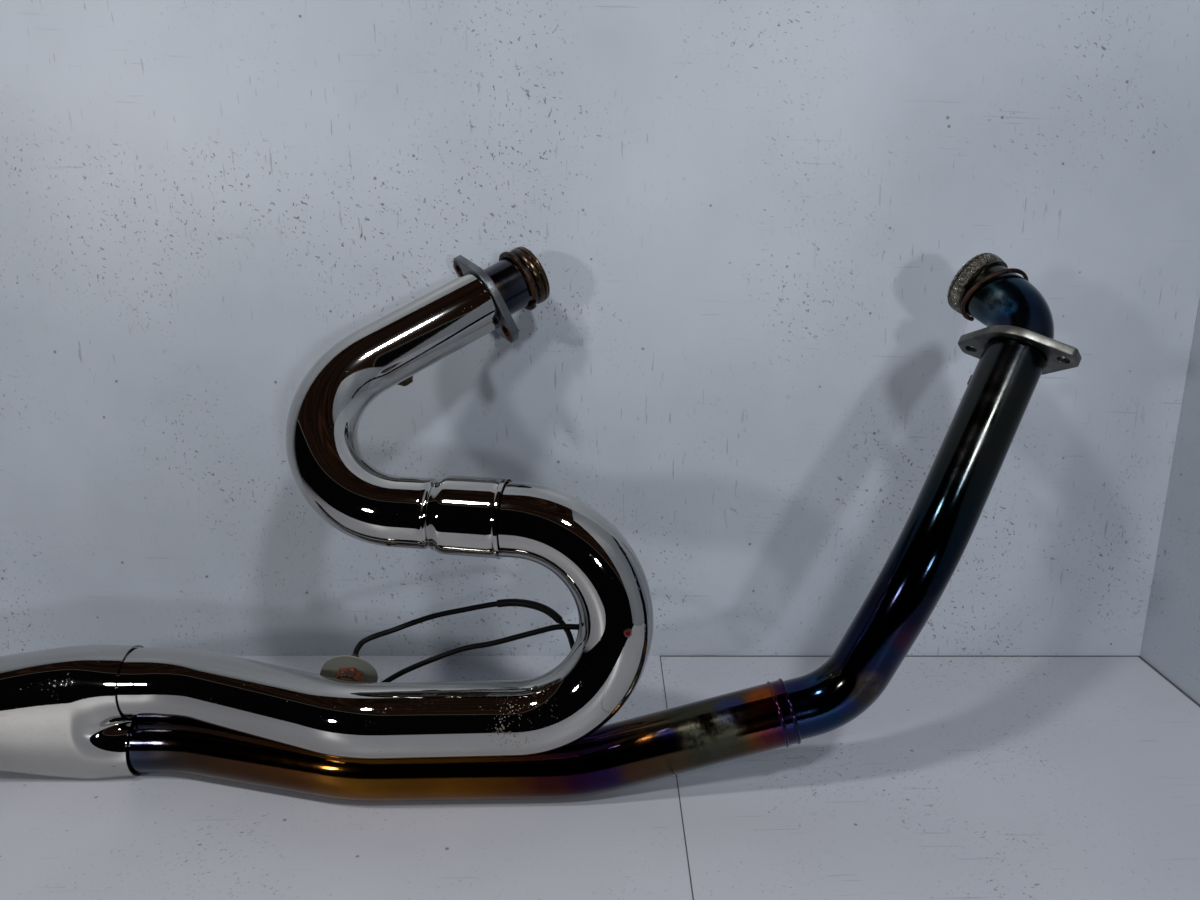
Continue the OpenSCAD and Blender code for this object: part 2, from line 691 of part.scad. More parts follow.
module skin(from, to, count, r, r_in = 0) {
    sides = cable_sides;
    rings = [for (k = [0:count]) let (t = from + (to - from) * k / count, c = cable_at(t), z = cable_dir(t),
                                      x = flat([0.2, 1, 0.3], z), y = cross(z, x))
                 [for (s = [0:sides - 1]) let (a = 360 * s / sides) [c, x * cos(a) + y * sin(a)]]];
    outer = [for (row = rings) each [for (q = row) q[0] + r * q[1]]];
    inner = [for (row = rings) each [for (q = row) q[0] + r_in * q[1]]];
    m = len(outer);
    function side_faces(base, flip) = [for (k = [0:count - 1], s = [0:sides - 1])
        let (a = base + k * sides + s, b = base + k * sides + (s + 1) % sides)
        each flip ? [[a, a + sides, b], [b, a + sides, b + sides]]
                  : [[a, b, a + sides], [b, b + sides, a + sides]]];
    last = count * sides;
    if (r_in == 0)
        polyhedron(outer, concat([[for (s = [0:sides - 1]) s]], side_faces(0, true),
                                 [[for (s = [sides - 1:-1:0]) last + s]]), convexity = 8);
    else
        polyhedron(concat(outer, inner),
                   concat(side_faces(0, true), side_faces(m, false),
                          [for (s = [0:sides - 1]) let (e = (s + 1) % sides)
                               each [[s, e, m + s], [e, m + e, m + s], [last + e, last + s, m + last + s],
                                     [m + last + e, last + e, m + last + s]]]),
                   convexity = 8);
}

cable_rings = 72;

module sensor_cable() {
    color([0.05, 0.05, 0.06]) skin(0, len(cable_points) - 1, cable_rings, cable_d / 2);
}

module cable_sleeve() {
    color([0.06, 0.06, 0.07]) skin(sleeve_from, sleeve_to, 16, cable_d / 2 + 1.1, cable_d / 2 + 0.3);
}

connector_l = 26;
connector_w = 16;
connector_h = 13;

module connector() {
    end = cable_points[len(cable_points) - 1];
    color([0.07, 0.07, 0.08])
        place(end, cable_dir(len(cable_points) - 1), [0, 0, 1]) {
            cylinder(r = 4, h = 6);
            translate([-connector_h / 2, -connector_w / 2, 6]) difference() {
                cube([connector_h, connector_w, connector_l]);
                translate([2, 2, connector_l - 12]) cube([connector_h - 4, connector_w - 4, 14]);
            }
            translate([connector_h / 2, -3, 14]) cube([2, 6, 14]);
        }
}

rear_head_pipe();
front_upper_pipe();
front_lower_pipe();
collector();
rear_port_flange();
front_port_flange();
rear_retaining_ring();
front_retaining_ring();
rear_port_gasket();
front_port_gasket();
upper_shield();
lower_shield();
collector_shield();
shield_clips();
clamp_band(1);  // clamp_band_1
clamp_band(2);  // clamp_band_2
clamp_band(3);  // clamp_band_3
clamp_band(4);  // clamp_band_4
clamp_band(5);  // clamp_band_5
clamp_screw(1);  // clamp_screw_1
clamp_screw(2);  // clamp_screw_2
clamp_screw(3);  // clamp_screw_3
clamp_screw(4);  // clamp_screw_4
clamp_screw(5);  // clamp_screw_5
rear_bung();
rear_plug();
front_bung();
front_plug();
sensor_bung();
oxygen_sensor();
sensor_deflector();
sensor_boot();
sensor_cable();
cable_sleeve();
connector();
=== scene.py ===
"""Looks of a motorcycle exhaust header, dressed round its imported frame. Points are in millimetres."""
from math import cos, pi, radians, sin, sqrt, tan

import bmesh
import bpy
from mathutils import Matrix, Vector


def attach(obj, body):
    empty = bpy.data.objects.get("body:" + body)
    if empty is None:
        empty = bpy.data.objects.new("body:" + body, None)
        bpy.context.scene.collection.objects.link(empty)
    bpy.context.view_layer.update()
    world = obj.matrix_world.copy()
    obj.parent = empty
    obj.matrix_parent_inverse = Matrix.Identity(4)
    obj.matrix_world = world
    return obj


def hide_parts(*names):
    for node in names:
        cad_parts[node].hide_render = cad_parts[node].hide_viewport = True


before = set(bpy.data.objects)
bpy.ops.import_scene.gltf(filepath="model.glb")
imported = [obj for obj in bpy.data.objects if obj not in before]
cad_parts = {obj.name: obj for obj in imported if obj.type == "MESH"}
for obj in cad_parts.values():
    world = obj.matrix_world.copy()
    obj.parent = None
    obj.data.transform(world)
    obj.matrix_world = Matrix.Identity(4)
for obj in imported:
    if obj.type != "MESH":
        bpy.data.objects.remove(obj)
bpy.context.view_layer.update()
scene = bpy.context.scene
MM = 0.001

# Camera

CAMERA_AT, CAMERA_TILT, FOCAL_LENGTH = (0.0947, -0.7737, 0.0665), radians(75.4), 26.91
camera_data = bpy.data.cameras.new("camera")
camera_data.sensor_width = 36
camera_data.lens = FOCAL_LENGTH
camera_data.clip_start = 0.01
camera = bpy.data.objects.new("camera", camera_data)
camera.location = CAMERA_AT
camera.rotation_euler = (CAMERA_TILT, 0, 0)
scene.collection.objects.link(camera)
scene.camera = camera

# Sizes and routes, as in part.scad

HEAD_R, LOWER_R, WALL = 22.225, 23.8, 1.6
RUN_Y, RUN_Z, PITCH, INLET = -136, -289, 52, 300
LOW_Z = RUN_Z - PITCH
PORT_REACH = 45
REAR_CORNER = Vector((-138, -81, -71))
REAR_AXIS = REAR_CORNER.normalized()
REAR_ROUTE = [-PORT_REACH * REAR_AXIS, REAR_CORNER, (-94, -146, -142), (90, -172, -145), (128, -184, RUN_Z),
              (-86, -192, RUN_Z), (-230, RUN_Y, RUN_Z), (-INLET, RUN_Y, RUN_Z)]
REAR_RADII = [0, 77, 77, 73, 73, 115, 135, 0]
FRONT_ROUTE = [(395, -38, 16), (425, -83, -10), (327, -169, -178), (279, -163, -286), (79, -170, LOW_Z + 1),
               (-91, -173, LOW_Z), (-236, RUN_Y, LOW_Z), (-INLET, RUN_Y, LOW_Z)]
FRONT_RADII = [0, 40, 200, 60, 180, 160, 150, 0]
CABLE = [(-98, -131, -269), (-98, -125, -266), (-95, -118, -263), (-87, -112, -261), (-75, -104, -260),
         (-58, -97, -256), (-40, -92, -252), (-18, -90, -248), (4, -89, -244), (22, -91, -241),
         (38, -97, -240), (51, -105, -241), (61, -113, -245), (69, -121, -252), (73, -127, -261),
         (76, -131, -271), (84, -135, -279), (95, -136, -281), (106, -134, -275), (110, -131, -264),
         (104, -128, -253), (92, -126, -247), (77, -124, -247), (61, -120, -249), (46, -115, -255),
         (28, -111, -262), (6, -107, -270), (-17, -104, -276), (-42, -105, -285), (-64, -107, -294),
         (-80, -108, -303), (-96, -108, -315), (-112, -106, -330), (-128, -102, -345), (-144, -98, -354),
         (-160, -95, -357), (-176, -93, -357)]


def unit(p):
    return Vector(p).normalized()


def flat(v, axis):
    v = Vector(v)
    return (v - v.dot(axis) * axis).normalized()


class Route:
    """A bent centreline with a side direction that is carried along it and never twists."""

    def __init__(self, points, radii, side):
        points = [Vector(p) for p in points]
        legs = [(b - a).normalized() for a, b in zip(points, points[1:])]
        turns = [0] + [a.angle(b) for a, b in zip(legs, legs[1:])] + [0]
        cuts = [r * tan(t / 2) for r, t in zip(radii, turns)]
        self.legs, self.cuts, self.starts, self.parts = legs, cuts, [], []
        x, s = flat(side, legs[0]), 0.0
        for i, leg in enumerate(legs):
            length = (points[i + 1] - points[i]).length - cuts[i] - cuts[i + 1]
            self.starts.append(s)
            self.parts.append((s, length, points[i] + cuts[i] * leg, leg, x, None))
            s += length
            if i + 1 < len(legs):
                z = leg.cross(legs[i + 1]).normalized()
                out = leg.cross(z)
                centre = points[i + 1] - cuts[i + 1] * leg - radii[i + 1] * out
                arc = radii[i + 1] * turns[i + 1]
                self.parts.append((s, arc, centre, leg, x, (radii[i + 1], z, out)))
                s += arc
                x = x.dot(out) * legs[i + 1].cross(z) + x.dot(z) * z
        self.length = s

    def on_leg(self, i, at):
        """Distance along the route of a point that lies at a distance along leg i from its corner."""
        return self.starts[i] + at - self.cuts[i]

    def at(self, s):
        """Centre, tangent, side direction and the direction across both."""
        for start, length, origin, leg, x, bend in self.parts:
            if s <= start + length + 1e-9:
                break
        if bend is None:
            return origin + (s - start) * leg, leg, x, leg.cross(x)
        radius, z, out = bend
        a = (s - start) / radius
        out_now = cos(a) * out + sin(a) * leg
        t = cos(a) * leg - sin(a) * out
        side = x.dot(out) * out_now + x.dot(z) * z
        return origin + radius * out_now, t, side, t.cross(side)

    def steps(self, start, end, extra=(), step=4.0):
        """Distances from start to end: fine in the bends, and with every extra one."""
        found = {round(start, 4), round(end, 4)}
        for begin, length, _, _, _, bend in self.parts:
            count = max(1, round(length / (step if bend is None else min(step, bend[0] * radians(2.5)))))
            found |= {round(begin + length * k / count, 4) for k in range(count + 1)}
        found = {s for s in found if start <= s <= end
                 and all(abs(s - e) > 0.4 for e in extra)} | {round(e, 4) for e in extra}
        return sorted(found)


def shade_smooth(mesh, sharp, weld=False):
    """Turns the faces outwards and smooths all edges but those that are sharper than an angle in degrees."""
    body = bmesh.new()
    body.from_mesh(mesh)
    if weld:
        bmesh.ops.remove_doubles(body, verts=body.verts, dist=1e-6)
    bmesh.ops.recalc_face_normals(body, faces=body.faces)
    for face in body.faces:
        face.smooth = True
    for edge in body.edges:
        edge.smooth = not (len(edge.link_faces) == 2 and edge.calc_face_angle() > radians(sharp))
    body.to_mesh(mesh)
    body.free()


def make(name, verts, faces, uvs, inner_from=None, sharp=32):
    """A mesh piece with a UV for each corner. Verts are in millimetres."""
    mesh = bpy.data.meshes.new(name)
    mesh.from_pydata([Vector(v) * MM for v in verts], [], faces)
    layer = mesh.uv_layers.new(name="UVMap")
    for face, corners in zip(mesh.polygons, uvs):
        for loop, uv in zip(face.loop_indices, corners):
            layer.data[loop].uv = uv
    shade_smooth(mesh, sharp)
    if inner_from is not None:
        for face in mesh.polygons:
            face.material_index = 1 if face.index >= inner_from else 0
    piece = bpy.data.objects.new(name, mesh)
    scene.collection.objects.link(piece)
    return piece


def grid(rows, uv_rows, wrap_rows=False):
    """Faces and face UVs over rows of points, each row a closed ring. The last UV of a ring closes it."""
    n = len(rows[0])
    faces, uvs = [], []
    for k in range(len(rows) if wrap_rows else len(rows) - 1):
        m = (k + 1) % len(rows)
        for i in range(n):
            j = (i + 1) % n
            faces.append((k * n + i, k * n + j, m * n + j, m * n + i))
            a, b = uv_rows[k], uv_rows[m]
            uvs.append((a[i], a[i + 1], b[i + 1], b[i]))
    return faces, uvs


def tube(name, route, start, end, reach, bore_r, extra=(), sides=72):
    """A tube along a route, with a plain bore. reach gives its outer radius at a distance along the route."""
    angles = [2 * pi * k / sides for k in range(sides)]
    outer, inner, uv = [], [], []
    for s in route.steps(start, end, extra):
        p, _, x, y = route.at(s)
        for rows, r in ((outer, reach(s)), (inner, bore_r)):
            rows.append([p + r * (cos(a) * x + sin(a) * y) for a in angles])
        uv.append([(s * MM, k / sides) for k in range(sides + 1)])
    rows = outer + inner[::-1]
    faces, uvs = grid(rows, uv + uv[::-1], wrap_rows=True)
    count = (len(outer) - 1) * sides
    return make(name, [p for row in rows for p in row], faces, uvs, inner_from=count)


def sheet(name, stations, cover, thick, steps=64, edge=4):
    """An open shell: each station is centre, x, y, a reach function of the angle, and its distance."""
    rows, uv = [], []
    angles = [-cover + 2 * cover * k / steps for k in range(steps + 1)]
    for centre, x, y, reach, s in stations:
        loop = [(a, reach(a)) for a in angles]
        for k in range(1, edge):
            b = pi * k / edge
            loop.append((cover + sin(b) * thick / 2 / reach(cover),
                         reach(cover) - thick / 2 + cos(b) * thick / 2))
        for a in reversed(angles):
            loop.append((a, reach(a) - thick))
        for k in range(1, edge):
            b = pi * k / edge
            loop.append((-cover - sin(b) * thick / 2 / reach(-cover),
                         reach(-cover) - thick / 2 - cos(b) * thick / 2))
        rows.append([centre + r * (cos(a) * x + sin(a) * y) for a, r in loop])
        marks = [(s * MM, a / (2 * pi)) for a, r in loop]
        uv.append(marks + [marks[0]])
    n = len(rows[0])
    faces, uvs = grid(rows, uv)
    body = len(faces)
    for base, mark, flip in ((0, uv[0], False), ((len(rows) - 1) * n, uv[-1], True)):
        for k in range(steps):
            quad = (k, k + 1, 2 * steps + edge - k - 1, 2 * steps + edge - k)
            corners = [mark[i] for i in quad]
            faces.append(tuple(base + i for i in (quad[::-1] if flip else quad)))
            uvs.append(tuple(corners[::-1] if flip else corners))
        for first in (steps, 2 * steps + edge):
            cap = [(first + i) % n for i in range(edge + 1)]
            faces.append(tuple(base + i for i in (cap[::-1] if flip else cap)))
            uvs.append(tuple(mark[i] for i in (cap[::-1] if flip else cap)))
    return make(name, [p for row in rows for p in row], faces, uvs, sharp=40)


def lathe(name, at, axis, side, outline, sides=48, closed=True, wobble=None):
    """A turned piece: outline is a list of (radius, height) round axis."""
    z = unit(axis)
    x = flat(side, z)
    y = z.cross(x)
    at = Vector(at)
    rows, uv, run = [], [], 0.0
    for k, (r, h) in enumerate(outline):
        if k:
            run += sqrt((r - outline[k - 1][0]) ** 2 + (h - outline[k - 1][1]) ** 2)
        ring = []
        for i in range(sides):
            a = 2 * pi * i / sides
            dr = wobble(a, h) if wobble and r > 0.01 else 0
            ring.append(at + h * z + (max(r, 0.001) + dr) * (cos(a) * x + sin(a) * y))
        rows.append(ring)
        uv.append([(run * MM, i / sides) for i in range(sides + 1)])
    faces, uvs = grid(rows, uv, wrap_rows=closed)
    if not closed:
        n = sides
        faces.append(tuple(range(n)))
        uvs.append(tuple(uv[0][:n]))
        last = (len(rows) - 1) * n
        faces.append(tuple(last + i for i in range(n))[::-1])
        uvs.append(tuple(uv[-1][:n])[::-1])
    return make(name, [p for row in rows for p in row], faces, uvs, sharp=34)


def prism(name, at, axis, side, outline, heights, chamfer=0.0, holes=()):
    """A flat shape pushed along an axis, with rounded edges. outline is a list of (x, y)."""
    curve = bpy.data.curves.new(name, "CURVE")
    curve.dimensions = "2D"
    curve.fill_mode = "BOTH"
    for loop in (outline, *holes):
        spline = curve.splines.new("POLY")
        spline.points.add(len(loop) - 1)
        for point, (x, y) in zip(spline.points, loop):
            point.co = (x, y, 0, 1)
        spline.use_cyclic_u = True
    height = heights[1] - heights[0]
    curve.extrude = height / 2 - chamfer
    curve.bevel_depth = chamfer
    curve.bevel_resolution = 3
    curve.offset = -chamfer
    temp = bpy.data.objects.new(name, curve)
    scene.collection.objects.link(temp)
    bpy.context.view_layer.update()
    mesh = bpy.data.meshes.new_from_object(temp.evaluated_get(bpy.context.evaluated_depsgraph_get()))
    bpy.data.objects.remove(temp)
    z = unit(axis)
    x = flat(side, z)
    y = z.cross(x)
    lift = (heights[0] + heights[1]) / 2
    matrix = Matrix(((x.x, y.x, z.x, at[0]), (x.y, y.y, z.y, at[1]), (x.z, y.z, z.z, at[2]), (0, 0, 0, 1)))
    matrix = Matrix.Scale(MM, 4) @ matrix @ Matrix.Translation((0, 0, lift))
    mesh.transform(matrix)
    shade_smooth(mesh, 32, weld=True)
    mesh.name = name
    piece = bpy.data.objects.new(name, mesh)
    scene.collection.objects.link(piece)
    return piece


def circle(r, n=64, at=(0, 0)):
    return [(at[0] + r * cos(2 * pi * k / n), at[1] + r * sin(2 * pi * k / n)) for k in range(n)]


def hull(points):
    """The convex outline round points."""
    points = sorted(set(points))

    def half(run):
        out = []
        for p in run:
            while len(out) > 1:
                (ax, ay), (bx, by) = out[-2], out[-1]
                if (bx - ax) * (p[1] - ay) - (by - ay) * (p[0] - ax) > 0:
                    break
                out.pop()
            out.append(p)
        return out[:-1]
    return half(points) + half(points[::-1])


# Materials

def srgb(r, g, b):
    return tuple((c / 12.92 if c <= 0.04045 else ((c + 0.055) / 1.055) ** 2.4) for c in (r, g, b)) + (1,)


class Nodes:
    """A node tree to build: each method adds nodes and gives back the output of the last one."""

    def __init__(self, tree):
        self.tree = tree

    def feed(self, socket, value):
        """Links another node's output to a socket, or sets the socket's own value."""
        if isinstance(value, bpy.types.NodeSocket):
            self.tree.links.new(value, socket)
        else:
            socket.default_value = value

    def set(self, node, sockets):
        for key, value in sockets.items():
            self.feed(node.inputs[key.replace("_", " ")], value)

    def add(self, kind, out=0, props=None, **sockets):
        node = self.tree.nodes.new("ShaderNode" + kind)
        for key, value in (props or {}).items():
            setattr(node, key, value)
        self.set(node, sockets)
        return node.outputs[out]

    def math(self, operation, a, b=0.0, clamp=False):
        node = self.tree.nodes.new("ShaderNodeMath")
        node.operation, node.use_clamp = operation, clamp
        for socket, value in zip(node.inputs, (a, b)):
            self.feed(socket, value)
        return node.outputs[0]

    def ramp(self, factor, stops):
        node = self.tree.nodes.new("ShaderNodeValToRGB")
        elements = node.color_ramp.elements
        while len(elements) < len(stops):
            elements.new(0.5)
        for element, (place, colour) in zip(elements, stops):
            element.position = place
            element.color = srgb(*colour)
        self.tree.links.new(factor, node.inputs[0])
        return node.outputs[0]

    def span(self, value, low, high, to_low=0.0, to_high=1.0, smooth=False):
        node = self.tree.nodes.new("ShaderNodeMapRange")
        if smooth:
            node.interpolation_type = "SMOOTHSTEP"
        self.tree.links.new(value, node.inputs["Value"])
        for socket, number in zip(list(node.inputs)[1:5], (low, high, to_low, to_high)):
            socket.default_value = number
        return node.outputs[0]

    def mix(self, factor, a, b, mode="MIX"):
        node = self.tree.nodes.new("ShaderNodeMix")
        node.data_type, node.blend_type = "RGBA", mode
        for socket, value in ((node.inputs[0], factor), (node.inputs[6], a), (node.inputs[7], b)):
            self.feed(socket, value)
        return node.outputs[2]

    def coords(self, scale=(1, 1, 1), of="Object", turn=(0, 0, 0), shift=(0, 0, 0)):
        source = self.tree.nodes.new("ShaderNodeTexCoord").outputs[of]
        return self.add("Mapping", Vector=source, Scale=scale, Rotation=turn, Location=shift)

    def noise(self, scale, detail=5, rough=0.55, coords=None):
        return self.add("TexNoise", Vector=coords or self.coords(), Scale=scale, Detail=detail,
                        Roughness=rough)

    def strokes(self, length, width, turn, share):
        """Sparse fine lines of about a length and width in metres; a higher share leaves fewer of them."""
        source = self.tree.nodes.new("ShaderNodeTexCoord").outputs["Object"]
        place = self.add("Mapping", props={"vector_type": "TEXTURE"}, Vector=source, Rotation=turn,
                         Scale=(length, width, width))
        return self.span(self.noise(1, 2, 0.5, place), share, share + 0.03)

    def along(self):
        """Distance along the piece in metres."""
        return self.add("SeparateXYZ", Vector=self.tree.nodes.new("ShaderNodeTexCoord").outputs["UV"])

    def near(self, point, radius, soft=0.5):
        """1 near a point of the frame (in mm), falling to 0 at a radius."""
        place = self.add("VectorMath", props={"operation": "DISTANCE"}, out=1)
        node = place.node
        self.tree.links.new(self.tree.nodes.new("ShaderNodeTexCoord").outputs["Object"], node.inputs[0])
        node.inputs[1].default_value = Vector(point) * MM
        return self.span(place, radius * MM, radius * MM * soft, 0, 1, smooth=True)

    def bump(self, height, strength, distance=0.0005, normal=None):
        sockets = {"Height": height, "Strength": strength, "Distance": distance}
        if normal is not None:
            sockets["Normal"] = normal
        return self.add("Bump", **sockets)


class Look(Nodes):
    """A procedural material on the principled shader."""

    def __init__(self, name, **sockets):
        self.mat = bpy.data.materials.new(name)
        self.mat.use_nodes = True
        super().__init__(self.mat.node_tree)
        self.shader = self.tree.nodes["Principled BSDF"]
        self.set(self.shader, sockets)

    def shade(self, **sockets):
        self.set(self.shader, sockets)
        return self.mat


PITTED, PITTED_MOST, PITTED_LESS = (42, -210, -275), (58, -213, -280), (5, -214, -290)
RED_MARK, DULL_END = (114, -203.5, -213), (-75, -75, -15)


def chrome_look():
    """Mirror chrome with fine scratches, pits on the lower bend, scattered dots and a red mark."""
    look = Look("chrome", Metallic=1.0)
    haze = look.noise(9, 4)
    fine = look.noise(420, 3, 0.6)
    scratch = look.math("MULTIPLY", look.strokes(0.03, 0.0008, (0.2, 0.5, 0.4), 0.72), 0.35)
    for length, width, turn, share in ((0.012, 0.0008, (0.4, -0.6, 0.1), 0.69),
                                       (0.004, 0.0010, (0.3, 1.2, 0.9), 0.68)):
        scuffed = look.span(look.noise(17, 3, 0.5, look.coords(shift=turn)), 0.58, 0.66)
        lines = look.math("MULTIPLY", look.strokes(length, width, turn, share), scuffed)
        scratch = look.math("MAXIMUM", scratch, lines)
    spots = look.add("TexVoronoi", Vector=look.coords(), Scale=520, Randomness=1)
    clusters = look.noise(24, 4, 0.7)
    region = look.math("ADD", look.near(PITTED, 38, 0.2), look.near(PITTED_MOST, 14, 0.3), True)
    region = look.math("ADD", region, look.math("MULTIPLY", look.near(PITTED_LESS, 44, 0.1), 0.3), True)
    size = look.math("MULTIPLY", look.span(clusters, 0.42, 0.68, 0.0, 0.5), region)
    pits = look.math("LESS_THAN", spots, size)
    rare = look.add("TexVoronoi", Vector=look.coords(), Scale=130, Randomness=1)
    dots = look.math("LESS_THAN", rare, look.span(look.noise(7, 2), 0.5, 0.75, 0, 0.075))
    marks = look.math("MAXIMUM", pits, dots)
    red = look.near(RED_MARK, 4.4, 0.3)
    red = look.math("MULTIPLY", red, look.span(look.noise(160, 4, 0.7), 0.42, 0.5))
    colour = look.mix(look.span(haze, 0.3, 0.7), srgb(0.725, 0.72, 0.705), srgb(0.67, 0.665, 0.65))
    colour = look.mix(look.math("MULTIPLY", scratch, 0.3), colour, srgb(0.86, 0.86, 0.86))
    colour = look.mix(look.math("MULTIPLY", marks, 0.85), colour, srgb(0.42, 0.37, 0.31))
    colour = look.mix(red, colour, srgb(0.55, 0.05, 0.08))
    rough = look.math("ADD", look.span(haze, 0.3, 0.75, 0.012, 0.035), look.math("MULTIPLY", scratch, 0.3))
    rough = look.math("ADD", rough, look.math("MULTIPLY", marks, 0.45))
    rough = look.math("ADD", rough, look.math("MULTIPLY", look.near(DULL_END, 85, 0.4), 0.05))
    rough = look.math("ADD", rough, look.math("MULTIPLY", red, 0.35))
    normal = look.bump(look.noise(26, 3), 0.02, 0.004)
    normal = look.bump(fine, 0.012, 0.0004, normal)
    normal = look.bump(marks, -0.5, 0.0002, normal)
    return look.shade(Base_Color=colour, Roughness=rough, Normal=normal)


def heat_look(name, stops, base_rough=0.16, patches=(), dull=(0, 1, 0), depth=(1, 1, 1)):
    """Tempered steel: colours along the pipe (at distances in mm), in soft flames.

    dull is (from, to, amount): roughness that fades out between two distances.
    patches are (point, radius, colour, amount, roughness). depth darkens all colours."""
    look = Look(name, Metallic=1.0)
    s = look.along()
    flame = look.math("MULTIPLY", look.math("SUBTRACT", look.noise(13, 4, 0.6), 0.5), 0.055)
    drift = look.math("MULTIPLY", look.math("SUBTRACT", look.noise(60, 5, 0.6), 0.5), 0.024)
    start, end = stops[0][0] * MM, stops[-1][0] * MM
    place = look.span(look.math("ADD", look.math("ADD", s, flame), drift), start, end)
    colour = look.ramp(place, [((at * MM - start) / (end - start), tone) for at, tone in stops])
    cloud = look.noise(22, 6, 0.62)
    colour = look.mix(look.span(cloud, 0.35, 0.75, 0, 0.35), colour, srgb(0.16, 0.14, 0.14))
    colour = look.mix(1.0, colour, (*depth, 1), "MULTIPLY")
    rough = look.math("ADD", look.span(cloud, 0.3, 0.7, base_rough, base_rough + 0.05),
                      look.span(look.noise(260, 4, 0.7), 0.45, 0.75, 0, 0.04))
    rough = look.math("ADD", rough, look.span(s, dull[0] * MM, dull[1] * MM, dull[2], 0, smooth=True))
    for point, radius, tint, amount, stain_rough in patches:
        edge = look.math("MULTIPLY", look.near(point, radius, 0.35),
                         look.span(look.noise(30, 6, 0.7), 0.34, 0.56, 0, amount))
        colour = look.mix(edge, colour, srgb(*tint))
        rough = look.math("ADD", look.math("MULTIPLY", rough, look.math("SUBTRACT", 1, edge)),
                          look.math("MULTIPLY", edge, stain_rough))
    streak = look.coords((90, 900, 900))
    normal = look.bump(look.noise(5, 5, 0.6, streak), 0.05, 0.0003)
    normal = look.bump(look.noise(34, 4), 0.06, 0.0016, normal)
    return look.shade(Base_Color=colour, Roughness=rough, Normal=normal)


def metal_look(name, light, dark, rough=(0.3, 0.5), scale=30, brushed=None, rust=None, rust_amount=0.4,
               patches=()):
    """Bare or plated metal with a cloudy tone, brushing, rust and patches (point, radius, tint)."""
    look = Look(name, Metallic=1.0)
    cloud = look.noise(scale, 6, 0.6)
    colour = look.mix(look.span(cloud, 0.3, 0.7), srgb(*light), srgb(*dark))
    roughness = look.span(cloud, 0.25, 0.75, *rough)
    grain = look.noise(6, 6, 0.7, look.coords(brushed or (500, 500, 500)))
    colour = look.mix(look.span(grain, 0.4, 0.75, 0, 0.3), colour, srgb(*[c * 0.6 for c in dark]))
    normal = look.bump(grain, 0.12, 0.0003)
    if rust:
        stain = look.span(look.noise(46, 7, 0.7), 0.62 - rust_amount * 0.3, 0.72 - rust_amount * 0.25)
        tone = look.mix(look.noise(300, 3), srgb(*rust), srgb(*[c * 0.45 for c in rust]))
        colour = look.mix(stain, colour, tone)
        roughness = look.math("MAXIMUM", roughness, look.math("MULTIPLY", stain, 0.85))
        normal = look.bump(look.math("MULTIPLY", stain, look.noise(500, 4)), 0.5, 0.0004, normal)
        look.set(look.shader, {"Metallic": look.math("SUBTRACT", 1, look.math("MULTIPLY", stain, 0.85))})
    for point, radius, tint in patches:
        worn = look.span(look.noise(160, 4), 0.2, 0.5, 0.6, 1)
        spot = look.math("MULTIPLY", look.near(point, radius, 0.8), worn)
        colour = look.mix(spot, colour, srgb(*tint))
        roughness = look.math("MAXIMUM", roughness, look.math("MULTIPLY", spot, 0.6))
    return look.shade(Base_Color=colour, Roughness=roughness, Normal=normal)


def rust_look(name, light, dark):
    """Coarse orange-brown rust."""
    look = Look(name, Metallic=0.15)
    cloud = look.noise(90, 7, 0.7)
    grit = look.noise(700, 5, 0.7)
    colour = look.mix(look.span(cloud, 0.42, 0.60), srgb(*dark), srgb(*light))
    colour = look.mix(look.span(grit, 0.52, 0.66, 0, 0.8), colour, srgb(*[c * 0.3 for c in dark]))
    flakes = look.span(look.noise(420, 3, 0.6), 0.60, 0.66, 0, 0.8)
    colour = look.mix(flakes, colour, srgb(*[min(1, c * 1.35) for c in light]))
    return look.shade(Base_Color=colour, Roughness=look.span(grit, 0.3, 0.7, 0.6, 0.95),
                      Normal=look.bump(look.math("ADD", cloud, grit), 0.6, 0.0006))


def knit_look():
    """Knitted wire pressed into a ring: bright strands, painted shade in the gaps between them, and soot."""
    look = Look("knit", Metallic=1.0)
    cells = look.add("TexVoronoi", Vector=look.coords((900, 110, 1), "UV", turn=(0, 0, 0.5)), Scale=1.0)
    strand = look.span(cells, 0.12, 0.55, 1, 0)
    s = look.along()
    groove = look.span(look.math("ABSOLUTE", look.math("SUBTRACT", s, 0.0052)), 0.0003, 0.0009)
    soot = look.noise(70, 6, 0.65)
    # The dark tone between the strands is painted shade in the gaps.
    colour = look.mix(strand, srgb(0.30, 0.28, 0.25), srgb(0.97, 0.95, 0.90))
    colour = look.mix(look.span(soot, 0.50, 0.66, 0, 0.55), colour, srgb(0.32, 0.25, 0.17))
    colour = look.mix(groove, srgb(0.05, 0.04, 0.035), colour)
    return look.shade(Base_Color=colour, Roughness=look.span(soot, 0.3, 0.7, 0.12, 0.3),
                      Normal=look.bump(look.math("ADD", strand, look.noise(700, 2)), 1.0, 0.0012))


